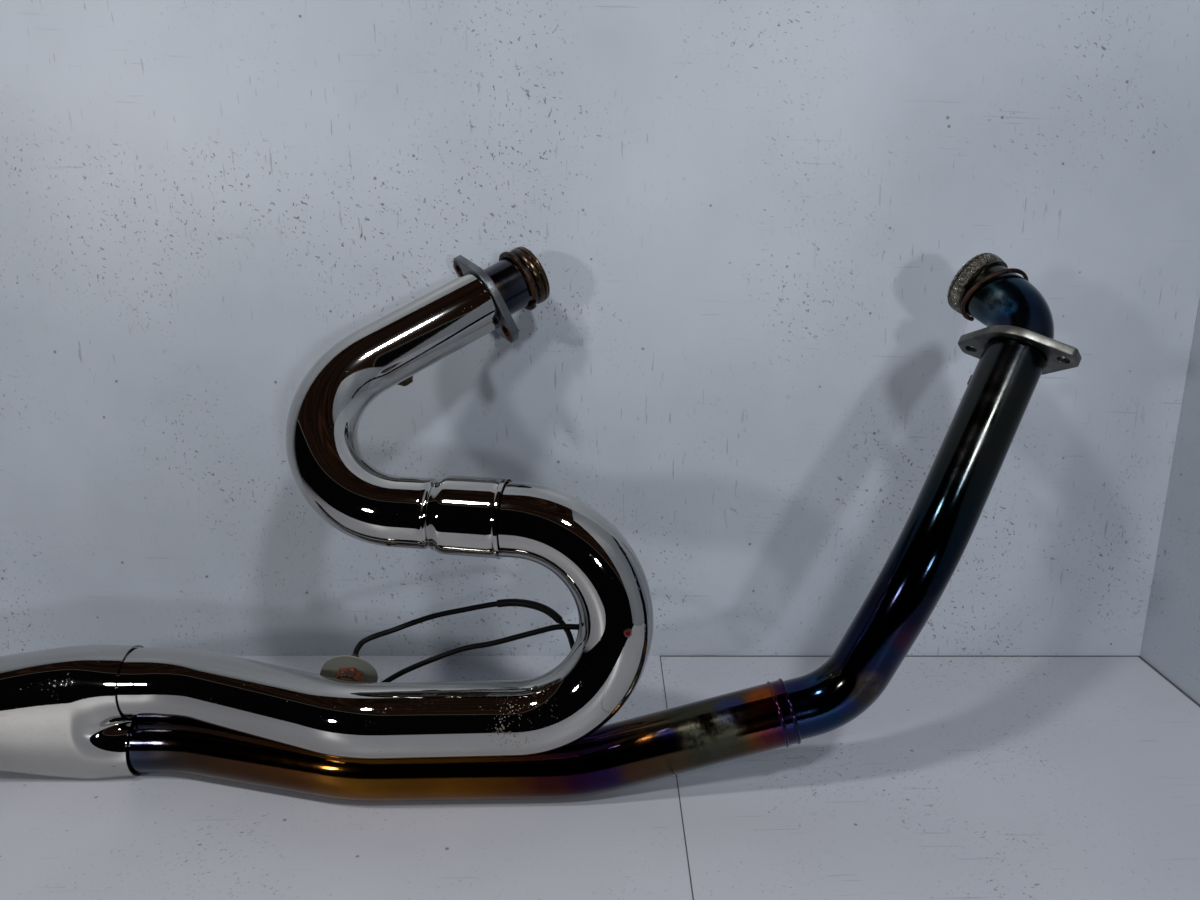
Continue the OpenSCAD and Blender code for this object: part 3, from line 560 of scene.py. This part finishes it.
def collar_look():
    """The rear gasket, burnished brown by exhaust gas in bands from its outer end (at distances in mm)."""
    look = Look("collar", Metallic=1.0)
    s = look.along()
    drift = look.math("MULTIPLY", look.math("SUBTRACT", look.noise(90, 4), 0.5), 0.0016)
    bands = [(0, (0.40, 0.38, 0.33)), (2.6, (0.34, 0.32, 0.27)), (3.3, (0.07, 0.06, 0.055)),
             (4.0, (0.38, 0.30, 0.21)), (6.6, (0.34, 0.27, 0.19)), (7.4, (0.09, 0.07, 0.055)),
             (8.6, (0.25, 0.20, 0.15)), (12, (0.31, 0.25, 0.18)), (14.5, (0.19, 0.19, 0.22)),
             (18, (0.12, 0.13, 0.17))]
    last = bands[-1][0]
    place = look.span(look.math("ADD", s, drift), 0, last * MM)
    colour = look.ramp(place, [(at / last, tone) for at, tone in bands])
    colour = look.mix(look.span(look.noise(50, 6, 0.7), 0.45, 0.7, 0, 0.6), colour, srgb(0.17, 0.13, 0.10))
    return look.shade(Base_Color=colour, Roughness=look.span(look.noise(80, 5), 0.3, 0.7, 0.16, 0.34),
                      Normal=look.bump(look.noise(120, 4), 0.15, 0.0008))


def soft_look(name, tone, rough, bump=0.1, scale=900, dusty=0.07, sheen=0.5):
    look = Look(name, Metallic=0.0, Specular_IOR_Level=sheen)
    dust = look.noise(40, 5)
    colour = look.mix(look.span(dust, 0.35, 0.75, 0, 0.4), srgb(*tone), srgb(*[c + dusty for c in tone]))
    return look.shade(Base_Color=colour, Roughness=look.span(dust, 0.3, 0.7, rough, rough + 0.15),
                      Normal=look.bump(look.noise(scale, 3), bump, 0.0003))


CHROME = chrome_look()
SOOT = soft_look("soot", (0.09, 0.08, 0.075), 0.85, 0.4)
REAR_BOLT_LINE = (6, -4, -7)
REAR_BOLTS = flat(REAR_BOLT_LINE, REAR_AXIS)
FACE_AT = 7.5 * REAR_AXIS
RUST_FACE, RUST_HOLE = (0.34, 0.17, 0.10), (0.11, 0.06, 0.045)
FLANGE_ZINC = metal_look("zinc", (0.50, 0.52, 0.54), (0.33, 0.35, 0.37), (0.28, 0.46), 40,
                         rust=(0.45, 0.27, 0.14), rust_amount=0.12,
                         patches=[(FACE_AT + side * at * REAR_BOLTS, r, tint) for side in (-1, 1)
                                  for at, r, tint in ((36.5, 9.0, RUST_FACE), (35, 5.6, RUST_HOLE))])
FLANGE_STEEL = metal_look("steel", (0.50, 0.50, 0.48), (0.27, 0.265, 0.25), (0.24, 0.46), 30,
                          brushed=(60, 700, 700), rust=(0.30, 0.22, 0.15), rust_amount=0.2)
RING_RUST = metal_look("ring", (0.25, 0.18, 0.14), (0.13, 0.09, 0.07), (0.4, 0.6), 60,
                       rust=(0.30, 0.16, 0.08), rust_amount=0.6)
SENSOR_RUST = rust_look("sensor_rust", (0.46, 0.24, 0.11), (0.14, 0.07, 0.035))
DEFLECTOR_STEEL = soft_look("deflector", (0.44, 0.45, 0.42), 0.5, 0.2)
BUNG_STEEL = metal_look("bung_steel", (0.42, 0.37, 0.28), (0.26, 0.22, 0.16), (0.35, 0.55), 60)
CLAMP_STEEL = metal_look("clamp_steel", (0.68, 0.67, 0.65), (0.5, 0.49, 0.46), (0.3, 0.5), 50)
KNIT = knit_look()
COLLAR_STEEL = collar_look()
RUBBER = soft_look("rubber", (0.05, 0.05, 0.05), 0.55)
PLASTIC = soft_look("plastic", (0.045, 0.045, 0.05), 0.38, 0.06, 500)
CORD = soft_look("cord", (0.012, 0.012, 0.015), 0.45, 0.08, 700, 0.02, 0.15)
SLEEVING = soft_look("sleeving", (0.02, 0.02, 0.022), 0.5, 0.15, 500, 0.03, 0.2)

REAR_STEEL = heat_look("rear_steel", [
    (0, (0.30, 0.25, 0.22)), (12, (0.30, 0.26, 0.24)), (20, (0.27, 0.28, 0.31)), (32, (0.23, 0.24, 0.27)),
    (44, (0.18, 0.19, 0.23)), (54, (0.42, 0.34, 0.24)), (90, (0.46, 0.35, 0.24)), (300, (0.40, 0.36, 0.30)),
    (700, (0.48, 0.42, 0.31)), (1001, (0.5, 0.45, 0.36))], 0.12)
FRONT_UPPER = heat_look("front_upper_steel", [
    (0, (0.25, 0.21, 0.19)), (16, (0.40, 0.38, 0.37)), (30, (0.24, 0.32, 0.42)), (48, (0.18, 0.30, 0.42)),
    (64, (0.14, 0.20, 0.34)), (84, (0.19, 0.20, 0.25)), (120, (0.23, 0.225, 0.235)),
    (190, (0.20, 0.20, 0.21)), (220, (0.13, 0.18, 0.23)), (262, (0.10, 0.15, 0.24)),
    (300, (0.15, 0.13, 0.26)), (330, (0.12, 0.19, 0.36)), (355, (0.20, 0.16, 0.30)),
    (372, (0.28, 0.25, 0.24)), (392, (0.11, 0.24, 0.40)), (420, (0.18, 0.20, 0.40)),
    (458, (0.2, 0.24, 0.36))], 0.05, dull=(60, 190, 0.1), depth=(0.62, 0.72, 0.6), patches=[
        ((397, -81, 2), 13, (0.46, 0.52, 0.52), 0.75, 0.6),
        ((403, -91, 0), 9, (0.16, 0.42, 0.62), 0.6, 0.5),
        ((379, -120, -50), 34, (0.19, 0.19, 0.20), 0.6, 0.3),
        ((362, -158, -95), 32, (0.17, 0.17, 0.175), 0.6, 0.28),
        ((291, -187, -262), 13, (0.42, 0.38, 0.28), 0.6, 0.3),
        ((316, -189, -228), 16, (0.26, 0.13, 0.20), 0.7, 0.12),
        ((276, -186, -282), 12, (0.10, 0.14, 0.42), 0.8, 0.1),
        ((248, -178, -290), 13, (0.15, 0.27, 0.42), 0.7, 0.14)])
FRONT_LOWER = heat_look("front_lower_steel", [
    (419, (0.20, 0.24, 0.42)), (430, (0.32, 0.17, 0.38)), (440, (0.46, 0.20, 0.28)),
    (450, (0.54, 0.34, 0.22)), (462, (0.38, 0.35, 0.28)), (500, (0.30, 0.30, 0.26)),
    (520, (0.42, 0.36, 0.27)), (548, (0.42, 0.31, 0.26)), (565, (0.25, 0.17, 0.42)),
    (590, (0.28, 0.12, 0.30)), (612, (0.40, 0.20, 0.18)), (650, (0.58, 0.38, 0.14)),
    (745, (0.68, 0.48, 0.17)), (800, (0.48, 0.32, 0.19)), (870, (0.40, 0.30, 0.23)),
    (905, (0.34, 0.31, 0.31)), (930, (0.27, 0.30, 0.42)), (950, (0.30, 0.36, 0.50)),
    (970, (0.42, 0.45, 0.48))], 0.05, depth=(0.50, 0.46, 0.40), patches=[
        ((190, -178, -286), 17, (0.10, 0.20, 0.44), 0.8, 0.12),
        ((214, -172, -278), 15, (0.55, 0.27, 0.09), 0.85, 0.12),
        ((128, -182, -311), 10, (0.46, 0.27, 0.10), 0.9, 0.15),
        ((145, -184, -309), 11, (0.11, 0.17, 0.42), 0.8, 0.12),
        ((233, -182, -296), 11, (0.13, 0.17, 0.40), 0.8, 0.12),
        ((176, -189, -300), 31, (0.25, 0.26, 0.22), 0.9, 0.5),
        ((120, -186, -298), 16, (0.22, 0.21, 0.19), 0.6, 0.4)])

# Head pipes


def put(piece, nodes, slot, *mats):
    """Gives a piece its materials, hides the nodes it stands for and lets it ride."""
    for mat in mats:
        piece.data.materials.append(mat)
    if nodes:
        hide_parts(*nodes)
    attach(piece, "root")
    return piece


UPPER_GAP, LOWER_GAP = (-3, 10, -5), (0, 10, -2)
COLLAR = (11.1, 13.1, 24.75)
COLLAR_EDGES = [COLLAR[0] - 0.05, COLLAR[0], COLLAR[1], COLLAR[1] + 0.05]


def collared(s):
    """Radius of a head pipe, with the collar near its port."""
    low, high, radius = COLLAR
    return radius if low <= s <= high else HEAD_R


rear = Route(REAR_ROUTE, REAR_RADII, UPPER_GAP)
front = Route(FRONT_ROUTE, FRONT_RADII, (0, 1, 0))
JOINT, SLIP = front.on_leg(3, 40), 38
put(tube("rear_pipe", rear, 0, rear.length, collared, HEAD_R - WALL, COLLAR_EDGES),
    ["rear_head_pipe"], "pipe_rear", REAR_STEEL, SOOT)
put(tube("front_pipe_upper", front, 0, JOINT + SLIP, collared, HEAD_R - WALL, COLLAR_EDGES),
    ["front_upper_pipe"], "pipe_front_upper", FRONT_UPPER, SOOT)


BEADS, BEAD_R, LOWER_WALL = [JOINT + 2.2, JOINT + 11.2], 1.5, 1.5


def bead_reach(s):
    """Radius of the front pipe's lower half: two rolled beads at its open end."""
    r = LOWER_R
    for middle in BEADS:
        d = abs(s - middle)
        if d < BEAD_R:
            r = max(r, LOWER_R - 0.5 + sqrt(max(0, BEAD_R ** 2 - d * d)))
    return r


bead_steps = [middle + d for middle in BEADS for d in (-1.5, -1.2, -0.8, -0.4, 0, 0.4, 0.8, 1.2, 1.5)]
put(tube("front_pipe_lower", front, JOINT + 0.3, front.length, bead_reach, LOWER_R - LOWER_WALL, bead_steps),
    ["front_lower_pipe"], "pipe_front_lower", FRONT_LOWER, SOOT)

# Port flanges, rings and gaskets


def flange(name, at, axis, bolt_line, mat, node):
    corners = [p for x in (-39.5, 39.5) for y in (-4.5, 4.5) for p in circle(5, 40, (x, y))]
    holes = [circle(HEAD_R + 0.7, 96)] + [circle(4.4, 40, (side * 35, 0)) for side in (-1, 1)]
    piece = prism(name, at, axis, bolt_line, hull(circle(30, 120) + corners), (0, 7), 0.7, holes)
    return put(piece, [node], "flange", mat)


front_axis = front.legs[1]
front_flange_at = Vector(FRONT_ROUTE[1]) + (front.cuts[1] - 1) * front_axis
flange("port_flange_rear", (0, 0, 0), REAR_AXIS, REAR_BOLT_LINE, FLANGE_ZINC, "rear_port_flange")
flange("port_flange_front", front_flange_at, front_axis, (67, -74, 0), FLANGE_STEEL, "front_port_flange")


def gasket(name, start, axis, node, outline, mat, rough):
    def wobble(a, h):
        return rough * (0.16 * sin(31 * a + h) + 0.12 * sin(53 * a - 2 * h))
    piece = lathe(name, start - 2 * axis, axis, (1, 0, 0), outline, 180, wobble=wobble)
    return put(piece, [node], "gasket", mat)


RING_SPAN, RING_STEPS, RING_R = radians(336), 72, 25


def split_ring(name, at, axis, side, node, inner):
    """Open spring ring of a rounded square section."""
    z = unit(axis)
    x = flat(side, z)
    y = z.cross(x)
    section = [(inner, 0.5), (inner + 0.4, 0), (26.6, 0), (27.1, 0.3), (27.25, 0.8), (27.25, 2.4),
               (27.1, 2.9), (26.6, 3.2), (inner + 0.4, 3.2), (inner, 2.7)]
    n = len(section)
    rows, uv = [], []
    for k in range(RING_STEPS + 1):
        a = RING_SPAN * k / RING_STEPS
        rows.append([at + h * z + r * (cos(a) * x + sin(a) * y) for r, h in section])
        uv.append([(RING_R * MM * a, i / n) for i in range(n + 1)])
    faces, uvs = grid(rows, uv)
    for base, order in ((0, 1), ((len(rows) - 1) * n, -1)):
        faces.append(tuple(base + i for i in range(n))[::order])
        uvs.append(tuple(uv[0][:n])[::order])
    piece = make(name, [p for row in rows for p in row], faces, uvs, sharp=50)
    return put(piece, [node], "ring", RING_RUST)


PRESSED = [(HEAD_R + 0.15, 0.2), (23.2, 0), (24.2, 0.4), (25.1, 1.4), (25.35, 2.2), (25.0, 2.6), (25.4, 3.1),
           (25.75, 4.4), (25.75, 5.6), (25.35, 6.2), (25.7, 6.8), (25.75, 8.2), (25.5, 9.8), (24.8, 11.4),
           (23.8, 12.5), (HEAD_R + 0.15, 12.9)]
KNITTED = [(HEAD_R + 0.15, 0.2), (23.2, 0), (24.0, 0.5), (25.0, 2.0), (25.5, 3.6), (25.3, 4.2), (25.75, 5),
           (25.75, 7.5), (25.75, 10), (25.3, 12), (24.6, 12.9), (HEAD_R + 0.15, 12.9)]
port_axis = front.legs[0]
gasket("gasket_rear", Vector(REAR_ROUTE[0]), REAR_AXIS, "rear_port_gasket", PRESSED, COLLAR_STEEL, 0.3)
gasket("gasket_front", Vector(FRONT_ROUTE[0]), port_axis, "front_port_gasket", KNITTED, KNIT, 1.3)
split_ring("ring_rear", REAR_ROUTE[0] + 13.3 * REAR_AXIS, REAR_AXIS, (1, 0, 0), "rear_retaining_ring", 22.9)
loose_axis = (port_axis + tan(radians(18)) * flat(front_axis, port_axis)).normalized()
split_ring("ring_front", Vector(FRONT_ROUTE[0]) + 23.5 * port_axis - 1.6 * loose_axis, loose_axis, (0, 1, -1),
           "front_retaining_ring", 24.6)

# Heat shields

UPPER_R, SHIELD_R, SHEET, COVER = 26.5, 27.0, 1.0, radians(120)
SLEEVE_AT = rear.on_leg(2, 67)
SLEEVE_END = rear.on_leg(2, 123)
SLEEVE_R = SHIELD_R + 1.4 + SHEET


def smooth(t):
    t = min(1, max(0, t))
    return t * t * (3 - 2 * t)


def upper_reach(s):
    """Radius of the upper shield: a groove, a flare and the rimmed sleeve over the lower shield."""
    d = s - SLEEVE_AT
    r = UPPER_R - 1.2 * (smooth(d / 2.0) - smooth((d - 3.0) / 2.0))
    return r + (SLEEVE_R - UPPER_R) * smooth((d - 4) / 10) + 0.6 * smooth((s - SLEEVE_END + 4) / 1.4)


def round_station(route, s, r):
    p, t, x, y = route.at(s)
    return (p, -x, -y, (lambda a, r=r: r), s)


upper_from = PORT_REACH + 8
fine = [SLEEVE_AT + d for d in (0, 0.5, 1, 1.5, 2, 2.5, 3, 3.5, 4, 4.5, 5, 6, 7, 8, 9, 10, 11, 12, 13, 14)]
fine += [SLEEVE_END - d for d in (4, 3.6, 3.2, 2.8, 2.4, 1.2, 0)]
stations = [round_station(rear, s, upper_reach(s)) for s in rear.steps(upper_from, SLEEVE_END, fine)]
put(sheet("shield_upper", stations, COVER, SHEET, 72), ["upper_shield"], "shield", CHROME)

low = Route(REAR_ROUTE[::-1], REAR_RADII[::-1], (0, 1, 0))
run_gap = flat(LOWER_GAP, low.legs[2])
probe = Route(REAR_ROUTE[:5][::-1], [0, 73, 77, 77, 0], run_gap)
lower = Route(REAR_ROUTE[2:], [0] + REAR_RADII[3:], probe.at(probe.on_leg(1, 60))[2])
lower_from, lower_to = lower.on_leg(0, 101), lower.on_leg(4, 56)
stations = [round_station(lower, s, SHIELD_R) for s in lower.steps(lower_from, lower_to)]
put(sheet("shield_lower", stations, COVER, SHEET, 72), ["lower_shield"], "shield", CHROME)

# The collector's shield

LOBE_UP, LOBE_DOWN, LOBE_HALF = SHIELD_R + 0.8 + SHEET, LOWER_R + 0.8 + 1 + SHEET, PITCH / 2
MOUTH, SHIELD_L, MID_Z = INLET - 28, 165, RUN_Z - PITCH / 2


def lobe(a, r, c):
    return c * sin(a) + sqrt(max(0, r * r - (c * cos(a)) ** 2))


def collector_reach(s, a):
    mouth = (lobe(a, LOBE_UP, LOBE_HALF) ** 3 + lobe(-a, LOBE_DOWN, LOBE_HALF) ** 3) ** (1 / 3)
    merge, narrow = smooth(s * 4.5), smooth((s - 0.15) / 0.85)
    w, h = 30.5 + 5.5 * narrow, LOBE_HALF + LOBE_UP + (38 - LOBE_HALF - LOBE_UP) * narrow
    oval = ((abs(cos(a)) / w) ** 2.6 + (abs(sin(a)) / h) ** 2.6) ** (-1 / 2.6)
    return mouth * (1 - merge) + oval * merge


stations = []
for k in range(61):
    s = (k / 60) ** 1.35
    centre = Vector((-MOUTH - s * SHIELD_L, RUN_Y, MID_Z))
    stations.append((centre, Vector((0, -1, 0)), Vector((0, 0, 1)), (lambda a, s=s: collector_reach(s, a)),
                     s * SHIELD_L))
put(sheet("shield_collector", stations, radians(118), SHEET, 128), ["collector_shield"], "shield", CHROME)

# Bungs, plugs and sensor


def hexagon(name, at, axis, side, flats, heights, chamfer):
    return prism(name, at, axis, side, circle(flats / 2 / cos(pi / 6), 6), heights, chamfer)


rear_bung = Vector(rear.at(PORT_REACH + 94)[0])
rear_bung_axis = flat((2, 11, -16), REAR_AXIS)
front_bung = Vector(FRONT_ROUTE[1]) + 51 * front_axis
front_bung_axis = flat((-14, 60, -20), front_axis)
run_line = rear.legs[4]
sensor_at = Vector(REAR_ROUTE[5]) + 13 * rear.legs[5] + Vector((0, 0.4, 0))
sensor_axis = unit((0, 94, 34))
TOP = HEAD_R + 8


def bung(name, at, axis, side, node):
    outline = [(6, 22.6), (6, TOP - 0.6), (6.6, TOP), (8.9, TOP), (9.5, TOP - 0.6), (9.5, 24.4), (9.5, 22.6)]
    return put(lathe(name, at, axis, side, outline, 40), [node], "bung", BUNG_STEEL)


def joined(name, pieces):
    """One piece made of several, so that a fitting stays one object."""
    bpy.ops.object.select_all(action="DESELECT")
    for piece in pieces:
        piece.select_set(True)
    bpy.context.view_layer.objects.active = pieces[0]
    bpy.ops.object.join()
    pieces[0].name = pieces[0].data.name = name
    return pieces[0]


def plug(name, at, axis, side, node):
    stem = [(0, 21.3), (5.9, 21.5), (5.9, TOP + 0.2), (0, TOP + 0.2)]
    tip = [(0, TOP + 5.9), (5, TOP + 5.9), (4.9, TOP + 6.6), (3.6, TOP + 9.2), (3.0, TOP + 9.6),
           (0, TOP + 9.6)]
    shank = lathe(name + "_shank", at, axis, side, stem, 32, closed=False)
    head = hexagon(name + "_hex", at, axis, side, 14, (TOP + 0.2, TOP + 6), 0.7)
    cone = lathe(name + "_cone", at, axis, side, tip, 32, closed=False)
    return put(joined(name, [shank, head, cone]), [node], "bung", BUNG_STEEL)


bung("bung_rear", rear_bung, rear_bung_axis, REAR_AXIS, "rear_bung")
plug("plug_rear", rear_bung, rear_bung_axis, REAR_AXIS, "rear_plug")
bung("bung_front", front_bung, front_bung_axis, front_axis, "front_bung")
plug("plug_front", front_bung, front_bung_axis, front_axis, "front_plug")
bung("bung_sensor", sensor_at, sensor_axis, run_line, "sensor_bung")
shank = [(0, 23.3), (5.9, 23.5), (5.9, TOP + 0.1), (10.3, TOP + 0.1), (10.4, TOP + 0.5), (10.3, TOP + 1.5),
         (0, TOP + 1.5)]
shell = [(0, TOP + 8.5), (7.4, TOP + 9), (7.4, TOP + 12), (6.9, TOP + 12.6), (6.6, TOP + 13.6),
         (6.6, TOP + 20.4), (6.2, TOP + 21.6), (5.6, TOP + 22.5), (0, TOP + 22.5)]
folds = [(0, TOP + 22.6), (4.6, TOP + 22.6), (4.8, TOP + 23.4), (4.2, TOP + 24.2), (4.4, TOP + 25),
         (3.8, TOP + 25.8), (4.0, TOP + 26.6), (3.4, TOP + 27.6), (3.2, TOP + 28.8), (0, TOP + 28.9)]
sensor = joined("sensor", [
    lathe("sensor_shank", sensor_at, sensor_axis, run_line, shank, 40, closed=False),
    hexagon("sensor_hex", sensor_at, sensor_axis, run_line, 19, (TOP + 1.4, TOP + 9.5), 0.9),
    lathe("sensor_shell", sensor_at, sensor_axis, run_line, shell, 40, closed=False)])
put(sensor, ["oxygen_sensor"], "sensor", SENSOR_RUST)
boot = lathe("sensor_boot_piece", sensor_at, sensor_axis, run_line, folds, 32, closed=False)
put(boot, ["sensor_boot"], "boot", RUBBER)

# Cable


def spline(points, per):
    """Points of a smooth line through the given ones, so many from each to the next."""
    points = [Vector(p) for p in points]
    out = []
    for i in range(len(points) - 1):
        a, b, c, d = points[max(0, i - 1)], points[i], points[i + 1], points[min(len(points) - 1, i + 2)]
        for k in range(per):
            u = k / per
            out.append(0.5 * (2 * b + (c - a) * u + (2 * a - 5 * b + 4 * c - d) * u * u
                              + (3 * b - a - 3 * c + d) * u ** 3))
    return out + [points[-1]]


def cord_curve(name, points, radius):
    curve = bpy.data.curves.new(name, "CURVE")
    curve.dimensions = "3D"
    curve.bevel_depth = radius * MM
    curve.bevel_resolution = 5
    curve.use_fill_caps = True
    line = curve.splines.new("POLY")
    line.points.add(len(points) - 1)
    for point, p in zip(line.points, points):
        point.co = (*(p * MM), 1)
    piece = bpy.data.objects.new(name, curve)
    scene.collection.objects.link(piece)
    return piece


PER_POINT, SLEEVE_FROM, SLEEVE_TO = 6, 8.3, 12.2
cable_line = spline(CABLE, PER_POINT)
cable = put(cord_curve("sensor_lead", cable_line, 2.25), ["sensor_cable"], "cable", CORD)
sleeve_line = cable_line[round(SLEEVE_FROM * PER_POINT):round(SLEEVE_TO * PER_POINT) + 1]
sleeve = put(cord_curve("lead_sleeve", sleeve_line, 3.2), ["cable_sleeve"], "cable", SLEEVING)

# Solids that keep their shape

for name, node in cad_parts.items():
    mat = None
    if name.startswith("clamp_") or name == "shield_clips":
        mat = CLAMP_STEEL
    elif name == "connector":
        mat = PLASTIC
    elif name == "collector":
        mat = REAR_STEEL
    elif name == "sensor_deflector":
        mat = DEFLECTOR_STEEL
    if mat:
        node.data.materials.clear()
        node.data.materials.append(mat)

# Stage and light


def stage_plane(name, corners, mat):
    mesh = bpy.data.meshes.new(name)
    mesh.from_pydata(corners, [], [(0, 1, 2, 3)])
    piece = bpy.data.objects.new(name, mesh)
    scene.collection.objects.link(piece)
    mesh.materials.append(mat)
    return piece


# Each is length and width in metres, turn, share and strength.
WALL_STROKES = [(0.16, 0.0026, 0.03, 0.69, 0.3), (0.024, 0.0026, 0.8, 0.675, 0.8),
                (0.034, 0.0026, -1.0, 0.68, 0.8), (0.09, 0.003, 1.45, 0.68, 0.4),
                (0.012, 0.003, 0.4, 0.68, 0.8)]


def wall_look(name, tone, shade):
    """Pale painted board with fine scratches and specks, and clear when seen from behind."""
    look = Look(name, Metallic=0.0)
    cloud = look.noise(2.2, 5, 0.6)
    colour = look.mix(look.span(cloud, 0.3, 0.7), srgb(*tone), srgb(*shade))
    for length, width, turn, share, amount in WALL_STROKES:
        place = look.coords(shift=(share, length, amount))
        patchy = look.span(look.noise(6, 3, 0.5, place), 0.44, 0.6, 0, amount)
        lines = look.math("MULTIPLY", look.strokes(length, width, (0, turn, turn), share), patchy)
        colour = look.mix(lines, colour, srgb(0.36, 0.36, 0.38))
    specks = look.add("TexVoronoi", Vector=look.coords(), Scale=34)
    colour = look.mix(look.span(specks, 0.035, 0.06, 0.7, 0), colour, srgb(0.3, 0.3, 0.32))
    look.shade(Base_Color=colour, Roughness=0.42, Normal=look.bump(look.noise(160, 4), 0.04, 0.001))
    clear = look.tree.nodes.new("ShaderNodeBsdfTransparent")
    blend = look.tree.nodes.new("ShaderNodeMixShader")
    back = look.tree.nodes.new("ShaderNodeNewGeometry").outputs["Backfacing"]
    look.tree.links.new(back, blend.inputs[0])
    look.tree.links.new(look.shader.outputs[0], blend.inputs[1])
    look.tree.links.new(clear.outputs[0], blend.inputs[2])
    look.tree.links.new(blend.outputs[0], look.tree.nodes["Material Output"].inputs[0])
    return look.mat


# The stage and the lamps are in metres.
FLOOR_Z, FLOOR_FRONT, WALL_Y, WALL_TOP, FAR_LEFT = -0.3648, -0.58, 0.054, 1, -3
SIDE_X, SIDE_FRONT, SEAM = 0.642, -0.64, 0.156
floor_mat = wall_look("floor_paint", (0.74, 0.75, 0.78), (0.68, 0.69, 0.73))
wall_mat = wall_look("wall_paint", (0.74, 0.77, 0.81), (0.64, 0.67, 0.71))
gap_mat = soft_look("gap", (0.30, 0.30, 0.31), 0.8)


def floor_strip(name, left, right, front_y, back_y, lift, mat):
    corners = [(left, front_y), (right, front_y), (right, back_y), (left, back_y)]
    return stage_plane(name, [(x, y, FLOOR_Z + lift) for x, y in corners], mat)


def upright(name, start, end):
    """A wall over a line of the floor."""
    corners = [(*start, FLOOR_Z), (*end, FLOOR_Z), (*end, WALL_TOP), (*start, WALL_TOP)]
    return stage_plane(name, corners, wall_mat)


floor_strip("floor", FAR_LEFT, SIDE_X, FLOOR_FRONT, WALL_Y, 0, floor_mat)
upright("wall", (FAR_LEFT, WALL_Y), (SIDE_X, WALL_Y))
upright("side", (SIDE_X, WALL_Y), (SIDE_X, SIDE_FRONT))
floor_strip("gap_back", SEAM, SIDE_X, WALL_Y - 0.002, WALL_Y, 0.0002, gap_mat)
floor_strip("gap_right", SIDE_X - 0.003, SIDE_X, FLOOR_FRONT, WALL_Y, 0.0003, gap_mat)
floor_strip("gap_side", SEAM - 0.0009, SEAM, FLOOR_FRONT, WALL_Y, 0.0002, gap_mat)


AIM = Vector((0.05, -0.15, -0.15))
WARM, COOL = (1.0, 0.98, 0.96), (0.95, 0.97, 1.0)
for name, at, size, watts, colour in (("lamp_left", (-0.52, -0.87, 1.18), 0.14, 8.0, WARM),
                                      ("lamp_low", (-0.95, -1.30, 0.22), 0.12, 4.5, WARM),
                                      ("lamp_right", (0.50, -1.16, 1.06), 0.15, 8.5, COOL),
                                      ("lamp_front", (0.56, -1.85, 0.12), 0.12, 4.5, COOL)):
    data = bpy.data.lights.new(name, "AREA")
    data.shape, data.size, data.energy, data.color = "DISK", size, watts, colour
    lamp = bpy.data.objects.new(name, data)
    lamp.location = at
    lamp.rotation_euler = (AIM - Vector(at)).to_track_quat("-Z", "Y").to_euler()
    scene.collection.objects.link(lamp)

scene.world = bpy.data.worlds.new("world")
scene.world.use_nodes = True
world = Nodes(scene.world.node_tree)
world.tree.nodes.clear()
ray = world.tree.nodes.new("ShaderNodeTexCoord").outputs["Generated"]
# The chrome shows a dark room, with timber on the side that this vector points to.
TIMBER_SIDE = (0.67, 0.89, 1.0)
side_of = world.add("VectorMath", props={"operation": "DOT_PRODUCT"}, out=1)
world.feed(side_of.node.inputs[0], ray)
world.feed(side_of.node.inputs[1], TIMBER_SIDE)
grain = world.noise(1.0, 6, 0.7, world.coords((2, 3, 60), "Generated"))
timber = world.ramp(world.span(grain, 0.35, 0.68), [(0, (0.05, 0.036, 0.03)), (0.5, (0.125, 0.082, 0.062)),
                                                   (1, (0.24, 0.15, 0.10))])
room = world.mix(world.span(side_of, -0.03, 0.05), srgb(0.022, 0.022, 0.027), timber)
edge = world.span(world.math("ABSOLUTE", side_of), 0.004, 0.016, 0.8, 0)
room = world.mix(edge, room, srgb(0.42, 0.42, 0.41))
backdrop = world.mix(world.tree.nodes.new("ShaderNodeLightPath").outputs["Is Camera Ray"], room,
                     srgb(0.80, 0.82, 0.85))
light = world.add("Background", Color=backdrop, Strength=1.0)
world.tree.links.new(light, world.tree.nodes.new("ShaderNodeOutputWorld").inputs[0])

scene.view_settings.view_transform = "Standard"
